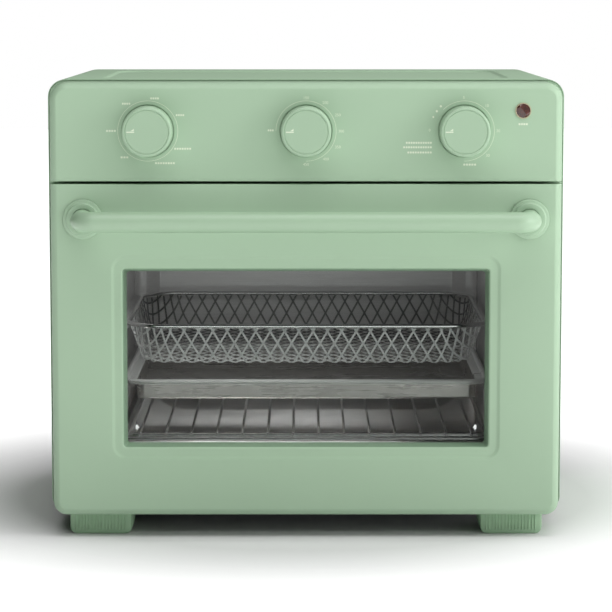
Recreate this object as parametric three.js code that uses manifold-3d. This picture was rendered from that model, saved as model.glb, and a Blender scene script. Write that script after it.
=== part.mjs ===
// Countertop toaster oven with an air-fry basket, a baking pan and a wire rack.
// Millimetres, +Z up, front towards -Y, origin on the table under the middle of the whole oven.
import * as THREE from "three";
import { mergeVertices } from "three/addons/utils/BufferGeometryUtils.js";
import Module from "manifold-3d";

const wasm = await Module();
wasm.setup();

// ---- Driving dimensions ----

const HALF_WIDTH = 202; // the outer shell is 404 wide
const SLAB_HALF = 198.8; // the door and the control panel stop short of the shell's sides
const FRONT_Y = -132; // front face of the door and the control panel
const SHELL_DEPTH = 290; // front face to the end of the outer shell
const REAR_BULGE = 302; // front face to the back of the rear bulge
const FOOT_HEIGHT = 18;
const FACE_TOP = 358;
const SHELL_TOP = 359.5;
const SEAM_LOW = 279.4; // top of the door
const SEAM_HIGH = 281.6; // underside of the control panel
const FRONT_THICKNESS = 26; // door or panel, front face to back
const TOP_RADIUS = 13.5;
const BOTTOM_RADIUS = 10.5;
const FRONT_SOFTENING = 5;
const SHEET = 1; // outer shell, back panel and base
const LINER_SHEET = 0.8;
const GAP = 0.3; // between neighbouring pieces

const WINDOW = { halfWidth: 142.5, low: 74.4, high: 212.5, radius: 2, wall: 4, depth: 16.7 };
const DISH = { halfWidth: 151, low: 64, high: 222.6, radius: 10, depth: 1.6 };
const GLASS = { halfWidth: 150, low: 67, high: 220, front: 17, thickness: 3.5 };

const CAVITY = { halfWidth: 151, floor: 38.2, ceiling: 262, front: 28.3, back: 280 };
const BACK_RECESS = { halfWidth: 130, low: 69.5, high: 238.5, radius: 24, depth: 10, flare: 11.5 };
const LEDGE = { inner: 141.5, thickness: 3, front: 43, back: 268 };
const LEDGE_TOPS = [74.2, 116.6, 162.2]; // rack, pan and basket

const HINGE = { depth: 8, height: 27, pinRadius: 2.5, clearance: 0.3, earHalf: 3.6 };
const EAR = { inner: 182, outer: 185 };

const KNOB = { height: 320.6, skirt: 20.6, cap: 19.3, length: 18, shaft: 3 };
const KNOB_X = 122.5;
const LAMP = { x: 168, height: 336.3, radius: 6.2 };

const HANDLE = { post: 173.5, height: 252.1, reach: 30, radius: 8, bend: 12 };
const ROSETTE = { radius: 15.5, thickness: 4.5 };

const FOOT = { inner: 138.5, outer: 187, length: 46, front: 18, rear: 236 };

const RACK = { halfWidth: 146.5, wireHeight: 77.5, wirePitch: 20.35, wires: 14, front: 41, back: 268 };
const RACK_RADII = { wire: 1.25, bar: 2 };
const PAN = { wall: 136.5, rim: 146.5, low: 101.5, high: 119.2, front: 45, back: 266, flange: 1.6 };
const BASKET = { wall: 129.5, flare: 11, rim: 144.5, low: 132.5, high: 165.5, front: 35, back: 271 };
const TRAY = { halfWidth: 149, low: 38.8, lip: 42, front: 34, back: 286 };

const FAN = { depth: 155, radius: 48, blades: 8, low: 250, high: 259, hub: 12, shaft: 3 };
const MOTOR = { radius: 27, low: 264, high: 300 };
const ELEMENT = { radius: 3.5, halfLength: 164, lowHeight: 50, highHeight: 248 };
const LOW_ELEMENT_DEPTHS = [85, 185];
const HIGH_ELEMENT_DEPTHS = [72, 238];

// Surface colours, roughness and metalness.
const FINISHES = {
  green: { color: 0x9fbd9e, roughness: 0.42, metalness: 0 },
  footGreen: { color: 0x738d70, roughness: 0.6, metalness: 0 },
  knobGreen: { color: 0x9ab898, roughness: 0.4, metalness: 0 },
  liner: { color: 0x9a9a98, roughness: 0.35, metalness: 1 },
  bright: { color: 0xd9dadb, roughness: 0.18, metalness: 1 },
  pan: { color: 0x8d8a85, roughness: 0.38, metalness: 1 },
  steel: { color: 0x8c8f92, roughness: 0.4, metalness: 1 },
  glass: { color: 0xe6efec, roughness: 0.05, metalness: 0 },
  lens: { color: 0x4a1c14, roughness: 0.12, metalness: 0 },
  black: { color: 0x1f2021, roughness: 0.55, metalness: 0 },
  ceramic: { color: 0xe8e2d4, roughness: 0.7, metalness: 0 },
  element: { color: 0x4a4643, roughness: 0.6, metalness: 1 },
  seal: { color: 0x2b2b2b, roughness: 0.8, metalness: 0 },
};

const oven = new THREE.Group();

// ---- Helpers ----

// The Y of a point that lies this far behind the front face.
function behind(depth) {
  return FRONT_Y + depth;
}

// A closed geometry as a solid with its faces pointing out.
function solid(geometry) {
  const bare = new THREE.BufferGeometry();
  bare.setAttribute("position", geometry.getAttribute("position"));
  bare.setIndex(geometry.index);
  const merged = mergeVertices(bare, 1e-3);
  const triVerts = new Uint32Array(merged.index.array);
  const vertProperties = merged.attributes.position.array;
  const made = new wasm.Manifold(new wasm.Mesh({ numProp: 3, vertProperties, triVerts }));
  if (made.volume() > 0) return made;
  for (let i = 0; i < triVerts.length; i += 3) {
    [triVerts[i + 1], triVerts[i + 2]] = [triVerts[i + 2], triVerts[i + 1]];
  }
  return new wasm.Manifold(new wasm.Mesh({ numProp: 3, vertProperties, triVerts }));
}

function join(...solids) {
  return solids.reduce((sum, next) => sum.add(next));
}

function cut(base, ...tools) {
  return tools.reduce((rest, tool) => rest.subtract(tool), base);
}

// A solid as a named mesh in the oven.
function place(name, body, finish) {
  const mesh = body.getMesh();
  const positions = new Float32Array(mesh.numVert * 3);
  for (let i = 0; i < mesh.numVert; i += 1) {
    positions.set(mesh.vertProperties.subarray(i * mesh.numProp, i * mesh.numProp + 3), i * 3);
  }
  const geometry = new THREE.BufferGeometry();
  geometry.setAttribute("position", new THREE.BufferAttribute(positions, 3));
  geometry.setIndex(new THREE.BufferAttribute(new Uint32Array(mesh.triVerts), 1));
  geometry.computeVertexNormals();
  const part = new THREE.Mesh(geometry, new THREE.MeshStandardMaterial(FINISHES[finish]));
  part.name = name;
  oven.add(part);
}

// A block between two X, two depths behind the front face and two heights.
function block([x0, x1], [d0, d1], [z0, z1]) {
  const geometry = new THREE.BoxGeometry(x1 - x0, d1 - d0, z1 - z0);
  geometry.translate((x0 + x1) / 2, behind((d0 + d1) / 2), (z0 + z1) / 2);
  return solid(geometry);
}

// A rounded rectangle; the radii run lower left, lower right, upper right, upper left.
function outline([x0, x1], [y0, y1], radii) {
  const [r0, r1, r2, r3] = Array.isArray(radii) ? radii : [radii, radii, radii, radii];
  const shape = new THREE.Shape();
  shape.moveTo(x0 + r0, y0);
  shape.lineTo(x1 - r1, y0);
  if (r1) shape.absarc(x1 - r1, y0 + r1, r1, -Math.PI / 2, 0, false);
  shape.lineTo(x1, y1 - r2);
  if (r2) shape.absarc(x1 - r2, y1 - r2, r2, 0, Math.PI / 2, false);
  shape.lineTo(x0 + r3, y1);
  if (r3) shape.absarc(x0 + r3, y1 - r3, r3, Math.PI / 2, Math.PI, false);
  shape.lineTo(x0, y0 + r0);
  if (r0) shape.absarc(x0 + r0, y0 + r0, r0, Math.PI, 1.5 * Math.PI, false);
  return shape;
}

// An outline in X and Z, extruded between two depths.
function facePlate(shape, [d0, d1], curveSegments = 3) {
  const geometry = new THREE.ExtrudeGeometry(shape, { depth: d1 - d0, bevelEnabled: false, curveSegments });
  geometry.rotateX(Math.PI / 2);
  geometry.translate(0, behind(d1), 0);
  return solid(geometry);
}

// An outline in X and depth, extruded between two heights.
function floorPlate(shape, [z0, z1], curveSegments = 3) {
  const geometry = new THREE.ExtrudeGeometry(shape, { depth: z1 - z0, bevelEnabled: false, curveSegments });
  geometry.translate(0, FRONT_Y, z0);
  return solid(geometry);
}

// An outline that grows by flare over a height: a tray's outside or inside, standing on its floor.
function flared(shape, height, flare, curveSegments) {
  const geometry = new THREE.ExtrudeGeometry(shape, {
    depth: 1,
    bevelThickness: height,
    bevelSize: flare,
    bevelSegments: 1,
    curveSegments,
  });
  geometry.translate(0, 0, height);
  const upper = new THREE.BoxGeometry(1000, 1000, height + 10);
  upper.translate(0, 0, height + (height + 10) / 2);
  return solid(geometry).subtract(solid(upper));
}

// A cylinder along X, Y or Z between two places on that axis; the other two give its centre.
function rod(axis, centre, [from, to], radius, segments = 16) {
  const geometry = new THREE.CylinderGeometry(radius, radius, to - from, segments);
  const middle = (from + to) / 2;
  if (axis === "x") geometry.rotateZ(Math.PI / 2).translate(middle, behind(centre[0]), centre[1]);
  if (axis === "y") geometry.translate(centre[0], behind(middle), centre[1]);
  if (axis === "z") geometry.rotateX(Math.PI / 2).translate(centre[0], behind(centre[1]), middle);
  return solid(geometry);
}

// A profile of [radius, distance along Y] points turned about a line along Y.
function turned(profile, x, z, segments) {
  const points = profile.map(([radius, depth]) => new THREE.Vector2(radius, behind(depth)));
  return solid(new THREE.LatheGeometry(points, segments).translate(x, 0, z));
}

// A profile of [radius, height] points turned about the fan's upright axis.
function turnedUpright(profile, segments) {
  const points = profile.map(([radius, height]) => new THREE.Vector2(radius, height));
  const geometry = new THREE.LatheGeometry(points, segments).rotateX(Math.PI / 2);
  return solid(geometry.translate(0, behind(FAN.depth), 0));
}

// ---- Casing ----

function caseOutline(inset, top, half = HALF_WIDTH) {
  const side = half - inset;
  const low = BOTTOM_RADIUS - inset;
  const high = TOP_RADIUS - inset;
  return outline([-side, side], [FOOT_HEIGHT + inset, top - inset], [low, low, high, high]);
}

function sideVents() {
  const slots = [];
  for (const side of [-1, 1]) {
    for (let i = 0; i < 8; i += 1) {
      const centre = 200 + i * 9;
      const x = [side * HALF_WIDTH - 4, side * HALF_WIDTH + 4];
      slots.push(block(x, [centre - 1.8, centre + 1.8], [300, 336]));
    }
  }
  return slots;
}

function outerShell() {
  const span = [FRONT_THICKNESS + GAP, SHELL_DEPTH];
  const outside = facePlate(caseOutline(0, SHELL_TOP), span, 4);
  const inside = facePlate(caseOutline(SHEET, SHELL_TOP), [0, SHELL_DEPTH + 10], 4);
  const belly = HALF_WIDTH - BOTTOM_RADIUS;
  const opening = block([-belly, belly], [0, SHELL_DEPTH + 10], [FOOT_HEIGHT - 5, FOOT_HEIGHT + 5]);
  const recess = floorPlate(outline([-162, 162], [55, 255], 20), [SHELL_TOP - 0.8, SHELL_TOP + 5]);
  return cut(outside, inside, opening, recess, ...sideVents());
}

function backPanel() {
  const plate = facePlate(caseOutline(0.4, SHELL_TOP), [SHELL_DEPTH + GAP, SHELL_DEPTH + GAP + SHEET]);
  const bulge = facePlate(outline([-150, 150], [50, 260], 14), [SHELL_DEPTH + GAP, REAR_BULGE]);
  const hollow = facePlate(outline([-149, 149], [51, 259], 13), [280, REAR_BULGE - SHEET]);
  const traySlot = block([-150.5, 150.5], [280, 300], [38.4, 43]);
  const vents = [];
  for (let i = 0; i < 20; i += 1) {
    const x = -114 + i * 12;
    vents.push(block([x - 2, x + 2], [280, 300], [290, 330]));
  }
  const glandHole = rod("y", [165, 60], [280, 300], 8.3, 16);
  return cut(join(plate, bulge), hollow, traySlot, glandHole, ...vents);
}

function basePan() {
  const plate = block([-189.5, 189.5], [FRONT_THICKNESS + 3, SHELL_DEPTH - GAP], [FOOT_HEIGHT, FOOT_HEIGHT + SHEET]);
  const vents = [];
  for (let row = 0; row < 2; row += 1) {
    for (let i = 0; i < 9; i += 1) {
      const x = -112 + i * 28;
      const depth = 120 + row * 70;
      vents.push(block([x - 10, x + 10], [depth - 2, depth + 2], [FOOT_HEIGHT - 1, FOOT_HEIGHT + 3]));
    }
  }
  return cut(plate, ...vents);
}

function foot(side, front) {
  const inner = side * FOOT.inner;
  const outer = side * FOOT.outer;
  const x = [Math.min(inner, outer), Math.max(inner, outer)];
  const shape = outline(x, [0, FOOT_HEIGHT - GAP], [4, 4, 0, 0]);
  return facePlate(shape, [front, front + FOOT.length]);
}

function cordGland() {
  const profile = [
    [3.6, SHELL_DEPTH - 4],
    [8, SHELL_DEPTH - 4],
    [8, SHELL_DEPTH + 2.1],
    [11, SHELL_DEPTH + 2.1],
    [11, SHELL_DEPTH + 5],
    [7, SHELL_DEPTH + 11],
    [3.6, SHELL_DEPTH + 11],
    [3.6, SHELL_DEPTH - 4],
  ];
  return turned(profile, 165, 60, 16);
}

// ---- Front slab: the control panel above the seam and the door below it ----

function frontSlab() {
  const geometry = new THREE.ExtrudeGeometry(caseOutline(0, FACE_TOP, SLAB_HALF), {
    depth: FRONT_THICKNESS,
    bevelThickness: FRONT_SOFTENING,
    bevelSize: FRONT_SOFTENING,
    bevelOffset: -FRONT_SOFTENING,
    bevelSegments: 3,
    curveSegments: 3,
  });
  geometry.rotateX(Math.PI / 2);
  geometry.translate(0, behind(FRONT_THICKNESS + FRONT_SOFTENING), 0);
  return solid(geometry);
}

const everything = [-300, 300];

function controlPanel() {
  const wall = 3.5;
  const side = SLAB_HALF - wall;
  const hollow = outline([-side, side], [SEAM_HIGH + 3, FACE_TOP - wall], [1, 1, 10, 10]);
  const holes = [-KNOB_X, 0, KNOB_X].map((x) => rod("y", [x, KNOB.height], [-10, 40], 4.2));
  return cut(
    frontSlab(),
    block(everything, [-10, 60], [0, SEAM_HIGH]),
    block(everything, [FRONT_THICKNESS, 60], [0, 400]),
    facePlate(hollow, [wall, 60]),
    rod("y", [LAMP.x, LAMP.height], [-10, 40], 5.5),
    ...holes,
  );
}

function hingeNotch(side) {
  const x = [side * (EAR.inner + EAR.outer) / 2 - 2.5, side * (EAR.inner + EAR.outer) / 2 + 2.5];
  return block(x, [4.1, 40], [0, HINGE.height + 4]);
}

function hingeBoss(side) {
  const x = [Math.min(side * 187.5, side * 196.2), Math.max(side * 187.5, side * 196.2)];
  return block(x, [3.8, 13], [21.8, 33]);
}

function hingeBore(side) {
  const x = [Math.min(side * 180, side * 195.9), Math.max(side * 180, side * 195.9)];
  return rod("x", [HINGE.depth, HINGE.height], x, HINGE.pinRadius + HINGE.clearance, 12);
}

function doorPanel() {
  const back = 22;
  const wall = 4;
  const opening = WINDOW.halfWidth;
  const collarShape = outline(
    [-opening - WINDOW.wall, opening + WINDOW.wall],
    [WINDOW.low - WINDOW.wall, WINDOW.high + WINDOW.wall],
    4,
  );
  const side = SLAB_HALF - wall;
  const hollowShape = outline([-side, side], [FOOT_HEIGHT + wall, SEAM_LOW - wall], [6, 6, 1, 1]);
  const hollow = facePlate(hollowShape, [wall, 60]);
  const window = outline([-opening, opening], [WINDOW.low, WINDOW.high], WINDOW.radius);
  const dish = outline([-DISH.halfWidth, DISH.halfWidth], [DISH.low, DISH.high], DISH.radius);
  const slab = cut(
    frontSlab(),
    block(everything, [-10, 60], [SEAM_LOW, 500]),
    block(everything, [back, 60], [0, 400]),
    hollow,
  );
  const collar = facePlate(collarShape, [wall - 0.5, WINDOW.depth]);
  return cut(
    join(slab, collar, hingeBoss(-1), hingeBoss(1)),
    facePlate(window, [-10, 60], 2),
    facePlate(dish, [-10, DISH.depth]),
    hingeNotch(-1),
    hingeNotch(1),
    hingeBore(-1),
    hingeBore(1),
    rod("y", [-HANDLE.post, HANDLE.height], [-10, 12], 2.6, 10),
    rod("y", [HANDLE.post, HANDLE.height], [-10, 12], 2.6, 10),
  );
}

function doorGlass() {
  const shape = outline([-GLASS.halfWidth, GLASS.halfWidth], [GLASS.low, GLASS.high], 4);
  return facePlate(shape, [GLASS.front, GLASS.front + GLASS.thickness], 2);
}

// A flat ring round the window between two depths.
function windowRing(outer, inner, depths) {
  const outside = outline([-outer.x, outer.x], outer.z, 4);
  const inside = outline([-inner.x, inner.x], inner.z, 3);
  return cut(facePlate(outside, depths, 2), facePlate(inside, [0, 60], 2));
}

function windowSeal() {
  return windowRing({ x: 150, z: [67, 220] }, { x: 146, z: [71, 216] }, [20.8, 22]);
}

function doorInnerFrame() {
  const shape = outline([-198, 198], [20, SEAM_LOW - 2.4], [8, 8, 1, 1]);
  const window = outline([-146, 146], [71, 216], 3);
  const plate = facePlate(shape, [22.3, 23.5]);
  return cut(plate, facePlate(window, [0, 60], 2), hingeNotch(-1), hingeNotch(1));
}

// ---- Handle ----

function handleElbow(side) {
  const reach = HANDLE.reach;
  const curve = 0.5523 * HANDLE.bend;
  const y = behind(-reach);
  const x = side * HANDLE.post;
  const z = HANDLE.height;
  const path = new THREE.CubicBezierCurve3(
    new THREE.Vector3(x, y + HANDLE.bend, z),
    new THREE.Vector3(x, y + HANDLE.bend - curve, z),
    new THREE.Vector3(x - side * (HANDLE.bend - curve), y, z),
    new THREE.Vector3(x - side * HANDLE.bend, y, z),
  );
  const section = new THREE.Shape();
  section.absarc(0, 0, HANDLE.radius, 0, 2 * Math.PI, false);
  return solid(new THREE.ExtrudeGeometry(section, { steps: 6, extrudePath: path, curveSegments: 8 }));
}

function handleBar() {
  const straight = HANDLE.post - HANDLE.bend + 0.05;
  const bar = rod("x", [-HANDLE.reach, HANDLE.height], [-straight, straight], HANDLE.radius);
  const pieces = [];
  const bores = [];
  for (const side of [-1, 1]) {
    const centre = [side * HANDLE.post, HANDLE.height];
    pieces.push(handleElbow(side));
    pieces.push(rod("y", centre, [-HANDLE.reach + HANDLE.bend - 0.05, -GAP], HANDLE.radius));
    bores.push(rod("y", centre, [-16, 10], 2.5, 10));
  }
  return cut(join(bar, ...pieces), ...bores);
}

function rosette(side) {
  const inner = HANDLE.radius + GAP;
  const profile = [
    [inner, -GAP],
    [ROSETTE.radius, -GAP],
    [ROSETTE.radius, -2.4],
    [13.2, -3],
    [12.4, -ROSETTE.thickness],
    [inner, -ROSETTE.thickness],
    [inner, -GAP],
  ];
  return turned(profile, side * HANDLE.post, HANDLE.height, 24);
}

function handleScrew(side) {
  const centre = [side * HANDLE.post, HANDLE.height];
  return join(rod("y", centre, [-14, 4.6], 2.1, 10), rod("y", centre, [4.3, 7], 4.6, 12));
}

// ---- Hinges ----

function hingeBracket(side) {
  const x = [Math.min(side * EAR.inner, side * EAR.outer), Math.max(side * EAR.inner, side * EAR.outer)];
  const flangeX = [Math.min(side * 168, side * EAR.outer), Math.max(side * 168, side * EAR.outer)];
  const axis = [HINGE.depth, HINGE.height];
  const low = HINGE.height - HINGE.earHalf;
  const arm = block(x, [HINGE.depth, 29.8], [low, HINGE.height + HINGE.earHalf]);
  const eye = rod("x", axis, x, HINGE.earHalf, 12);
  const flange = block(flangeX, [28.3, 29.8], [low, 66]);
  const bore = rod("x", axis, [x[0] - 5, x[1] + 5], HINGE.pinRadius + HINGE.clearance, 12);
  return cut(join(arm, eye, flange), bore);
}

function hingePin(side) {
  const x = [Math.min(side * 176.5, side * 195.6), Math.max(side * 176.5, side * 195.6)];
  return rod("x", [HINGE.depth, HINGE.height], x, HINGE.pinRadius, 12);
}

function hingeSpring(side) {
  const x = [Math.min(side * 177, side * 181.4), Math.max(side * 177, side * 181.4)];
  const axis = [HINGE.depth, HINGE.height];
  return cut(rod("x", axis, x, 3.6, 12), rod("x", axis, [x[0] - 1, x[1] + 1], 2.8, 12));
}

// ---- Cavity ----

function frontFrame() {
  const shape = outline([-200, 200], [19.9, 357.5], [8.5, 8.5, 11.5, 11.5]);
  const cavity = outline([-CAVITY.halfWidth, CAVITY.halfWidth], [CAVITY.floor + GAP, 261.5], 2);
  const slots = [];
  for (const side of [-1, 1]) {
    const middle = side * (EAR.inner + EAR.outer) / 2;
    slots.push(block([middle - 2, middle + 2], [0, 60], [22.9, 31.1]));
  }
  return cut(
    facePlate(shape, [26.5, 27.5]),
    facePlate(cavity, [0, 60], 2),
    block([-152, 152], [0, 60], [292, 350]),
    ...slots,
  );
}

function linerSide(side) {
  const wallX = [side * CAVITY.halfWidth, side * (CAVITY.halfWidth + LINER_SHEET)].sort((a, b) => a - b);
  const ledgeX = [side * LEDGE.inner, side * (CAVITY.halfWidth + 0.2)].sort((a, b) => a - b);
  const wall = block(wallX, [CAVITY.front, CAVITY.back - GAP], [CAVITY.floor + GAP, CAVITY.ceiling - GAP]);
  const ledges = LEDGE_TOPS.map((top) => block(ledgeX, [LEDGE.front, LEDGE.back], [top - LEDGE.thickness, top]));
  const holes = [];
  LOW_ELEMENT_DEPTHS.forEach((depth) => {
    holes.push(rod("x", [depth, ELEMENT.lowHeight], [wallX[0] - 5, wallX[1] + 5], ELEMENT.radius + 1, 12));
  });
  HIGH_ELEMENT_DEPTHS.forEach((depth) => {
    holes.push(rod("x", [depth, ELEMENT.highHeight], [wallX[0] - 5, wallX[1] + 5], ELEMENT.radius + 1, 12));
  });
  return cut(join(wall, ...ledges), ...holes);
}

function linerTop() {
  const side = CAVITY.halfWidth + LINER_SHEET;
  const plate = block([-side, side], [CAVITY.front, CAVITY.back - GAP], [CAVITY.ceiling, CAVITY.ceiling + LINER_SHEET]);
  return cut(plate, rod("z", [0, FAN.depth], [250, 280], FAN.shaft + 1));
}

function linerFloor() {
  const side = CAVITY.halfWidth + LINER_SHEET;
  return block([-side, side], [CAVITY.front, SHELL_DEPTH - GAP], [CAVITY.floor - LINER_SHEET, CAVITY.floor]);
}

// The rear wall, with a middle panel pressed back into the rear bulge.
function linerBack() {
  const recess = BACK_RECESS;
  const slope = recess.flare + 0.3;
  const inside = outline([-recess.halfWidth, recess.halfWidth], [recess.low, recess.high], recess.radius);
  const wall = LINER_SHEET;
  const outside = outline(
    [-recess.halfWidth - wall, recess.halfWidth + wall],
    [recess.low - wall, recess.high + wall],
    recess.radius + wall,
  );
  const standing = (body, depth) => body.rotate([90, 0, 0]).translate([0, behind(depth), 0]);
  const rear = CAVITY.back + recess.depth;
  const tub = standing(flared(outside, recess.depth + wall - 0.2, slope, 4), rear + wall);
  const hollow = standing(flared(inside, recess.depth + 0.3, slope, 4), rear);
  const low = TRAY.lip + 2.5;
  const flange = block([-152.2, 152.2], [CAVITY.back, CAVITY.back + wall], [low, CAVITY.ceiling + wall]);
  return cut(join(flange, tub), hollow);
}

function crumbTray() {
  const floor = block([-TRAY.halfWidth, TRAY.halfWidth], [TRAY.front, TRAY.back], [TRAY.low, TRAY.low + 1]);
  const lips = [
    block([-TRAY.halfWidth, -TRAY.halfWidth + 1.2], [TRAY.front, TRAY.back], [TRAY.low, TRAY.lip]),
    block([TRAY.halfWidth - 1.2, TRAY.halfWidth], [TRAY.front, TRAY.back], [TRAY.low, TRAY.lip]),
    block([-TRAY.halfWidth, TRAY.halfWidth], [TRAY.front, TRAY.front + 1.2], [TRAY.low, TRAY.lip]),
  ];
  const tongue = block([-60, 60], [TRAY.back - 1, 293], [TRAY.low, TRAY.low + 1.6]);
  const grip = block([-60, 60], [292.3, 297], [34, 47]);
  return join(floor, ...lips, tongue, grip);
}

// ---- Cookware ----

function wireRack() {
  const { wire, bar } = RACK_RADII;
  const half = RACK.halfWidth;
  const pieces = [];
  for (let i = 0; i < RACK.wires; i += 1) {
    const x = (i - (RACK.wires - 1) / 2) * RACK.wirePitch;
    pieces.push(rod("y", [x, RACK.wireHeight], [RACK.front - 1.2, RACK.back + 1.2], wire, 6));
  }
  const low = RACK.wireHeight - 1.2;
  pieces.push(rod("x", [RACK.front, low], [-half, half], bar, 8));
  pieces.push(rod("x", [RACK.back, low], [-half, half], bar, 8));
  pieces.push(rod("x", [RACK.front - 4, low - 2.4], [-half + 3, half - 3], bar, 8));
  for (const side of [-1, 1]) {
    pieces.push(rod("y", [side * (half - 1.5), low], [RACK.front - 1, RACK.back + 1], 1.8, 8));
    pieces.push(block([side * 60 - 2, side * 60 + 2], [RACK.front - 4, RACK.front], [low - 3, low]));
  }
  return join(...pieces);
}

function bakingPan() {
  const rim = outline([-PAN.rim, PAN.rim], [PAN.front, PAN.back], 16);
  const out = outline([-PAN.wall, PAN.wall], [PAN.front + 7, PAN.back - 7], 9);
  const inner = PAN.wall - 1.4;
  const inside = outline([-inner, inner], [PAN.front + 8.4, PAN.back - 8.4], 7.6);
  const flange = floorPlate(rim, [PAN.high - PAN.flange, PAN.high]);
  const tub = floorPlate(out, [PAN.low, PAN.high - 0.2]);
  return cut(join(flange, tub), floorPlate(inside, [PAN.low + 1.4, PAN.high + 5]));
}

function airFryBasket() {
  const wall = 1;
  const height = BASKET.high - BASKET.low - 2;
  const d0 = BASKET.front + 15;
  const d1 = BASKET.back - 15;
  const out = outline([-BASKET.wall, BASKET.wall], [d0, d1], 20);
  const side = BASKET.wall - wall;
  const inside = outline([-side, side], [d0 + wall, d1 - wall], 20 - wall);
  const rim = outline([-BASKET.rim, BASKET.rim], [BASKET.front, BASKET.back], 32);
  const tub = flared(out, height, BASKET.flare, 4).translate([0, FRONT_Y, BASKET.low]);
  const hollow = flared(inside, height + 2.5, BASKET.flare, 4).translate([0, FRONT_Y, BASKET.low + wall]);
  const flange = floorPlate(rim, [BASKET.high - 2.8, BASKET.high], 4);
  return cut(join(tub, flange), hollow);
}

// ---- Controls ----

function knob(x) {
  const { skirt, cap, length, shaft } = KNOB;
  const bore = shaft + GAP;
  const profile = [
    [0, -12],
    [bore, -12],
    [bore, -0.5],
    [skirt, -0.5],
    [skirt, -3.6],
    [cap, -4.4],
    [cap - 0.5, -length + 1.6],
    [cap - 2, -length],
    [0, -length],
  ];
  const body = turned(profile, x, KNOB.height, 32);
  return cut(body, block([x - skirt - 2, x - skirt + 1.2], [-5, 0], [KNOB.height - 0.9, KNOB.height + 0.9]));
}

function knobShaft(x) {
  return rod("y", [x, KNOB.height], [-11, 36], KNOB.shaft, 12);
}

function controlBracket() {
  const plate = block([-150, 150], [18, 19.5], [293, 349]);
  const holes = [-KNOB_X, 0, KNOB_X].map((x) => rod("y", [x, KNOB.height], [10, 30], 5.2, 12));
  return cut(plate, ...holes);
}

// A rotary control: a housing behind the bracket and a threaded neck through it.
function rotaryControl(x, housing) {
  const neck = rod("y", [x, KNOB.height], [9, 21], 4.8, 12);
  const bore = rod("y", [x, KNOB.height], [0, 38], KNOB.shaft + GAP, 12);
  return cut(join(housing, neck), bore);
}

function selectorSwitch() {
  const z = [KNOB.height - 17, KNOB.height + 17];
  return rotaryControl(-KNOB_X, block([-KNOB_X - 19, -KNOB_X + 19], [19.8, 48], z));
}

function thermostat() {
  const housing = rod("y", [0, KNOB.height], [19.8, 46], 19, 20);
  return rotaryControl(0, join(housing, block([-14, 14], [30, 52], [KNOB.height - 13, KNOB.height + 13])));
}

function timer() {
  const z = [KNOB.height - 20, KNOB.height + 20];
  return rotaryControl(KNOB_X, block([KNOB_X - 20, KNOB_X + 20], [19.8, 56], z));
}

function lampLens() {
  const r = LAMP.radius;
  const profile = [
    [0, 9],
    [5.2, 9],
    [5.2, -GAP],
    [r, -GAP],
    [r, -0.9],
    [r - 1.2, -1.6],
    [0, -1.9],
  ];
  return turned(profile, LAMP.x, LAMP.height, 20);
}

function lampBody() {
  return rod("y", [LAMP.x, LAMP.height], [9.3, 24], 4.6, 12);
}

// ---- Heating and air ----

function heatingElement(depth, height) {
  return rod("x", [depth, height], [-ELEMENT.halfLength, ELEMENT.halfLength], ELEMENT.radius, 12);
}

// A ceramic strip outside each side wall that carries the rod ends of one level.
function elementHolder(side, depths, height) {
  const x = [side * 153, side * 161].sort((a, b) => a - b);
  const strip = block(x, [depths[0] - 9, depths[1] + 9], [height - 8, height + 8]);
  const bores = depths.map((depth) => rod("x", [depth, height], [x[0] - 5, x[1] + 5], ELEMENT.radius + GAP, 12));
  return cut(strip, ...bores);
}

function fanGuard() {
  const profile = [
    [0, 244],
    [62, 244],
    [66, 261.4],
    [64.6, 261.4],
    [60.8, 245.2],
    [0, 245.2],
  ];
  const slots = [];
  for (let i = 0; i < 12; i += 1) {
    const slot = solid(new THREE.BoxGeometry(34, 4, 10).translate(36, 0, 245));
    slots.push(slot.rotate([0, 0, i * 30]).translate([0, behind(FAN.depth), 0]));
  }
  return cut(turnedUpright(profile, 36), ...slots);
}

function fanBlade() {
  const hub = turnedUpright(
    [
      [FAN.shaft + GAP, FAN.low + 1],
      [FAN.hub, FAN.low + 1],
      [FAN.hub, FAN.high - 1],
      [FAN.shaft + GAP, FAN.high - 1],
      [FAN.shaft + GAP, FAN.low + 1],
    ],
    20,
  );
  const blades = [];
  for (let i = 0; i < FAN.blades; i += 1) {
    const length = FAN.radius - FAN.hub + 3;
    const blade = new THREE.BoxGeometry(length, 1.2, FAN.high - FAN.low - 1.5);
    blade.rotateX(0.5).translate(FAN.hub - 3 + length / 2, 0, (FAN.low + FAN.high) / 2);
    blades.push(solid(blade).rotate([0, 0, (i * 360) / FAN.blades]).translate([0, behind(FAN.depth), 0]));
  }
  const bore = rod("z", [0, FAN.depth], [240, 270], FAN.shaft + GAP, 16);
  return cut(join(hub, ...blades), bore);
}

function fanShaft() {
  return rod("z", [0, FAN.depth], [FAN.low - 1, MOTOR.high - 6], FAN.shaft, 12);
}

function fanMotor() {
  const body = rod("z", [0, FAN.depth], [MOTOR.low, MOTOR.high], MOTOR.radius, 24);
  const plate = block([-42, 42], [FAN.depth - 12, FAN.depth + 12], [MOTOR.low, MOTOR.low + 2]);
  return cut(join(body, plate), rod("z", [0, FAN.depth], [200, MOTOR.high - 5], FAN.shaft + GAP, 12));
}

function thermostatProbe() {
  return rod("y", [143, 252], [92, 182], 2.5, 10);
}

function terminalBlock() {
  return block([168, 192], [240, 280], [80, 98]);
}

// ---- Assembly ----

place("outer_shell", outerShell(), "green");
place("back_panel", backPanel(), "steel");
place("base_pan", basePan(), "steel");
for (const [end, front] of [["front", FOOT.front], ["rear", FOOT.rear]]) {
  place(`foot_${end}_left`, foot(-1, front), "footGreen");
  place(`foot_${end}_right`, foot(1, front), "footGreen");
}
place("cord_gland", cordGland(), "black");
place("terminal_block", terminalBlock(), "ceramic");

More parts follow.
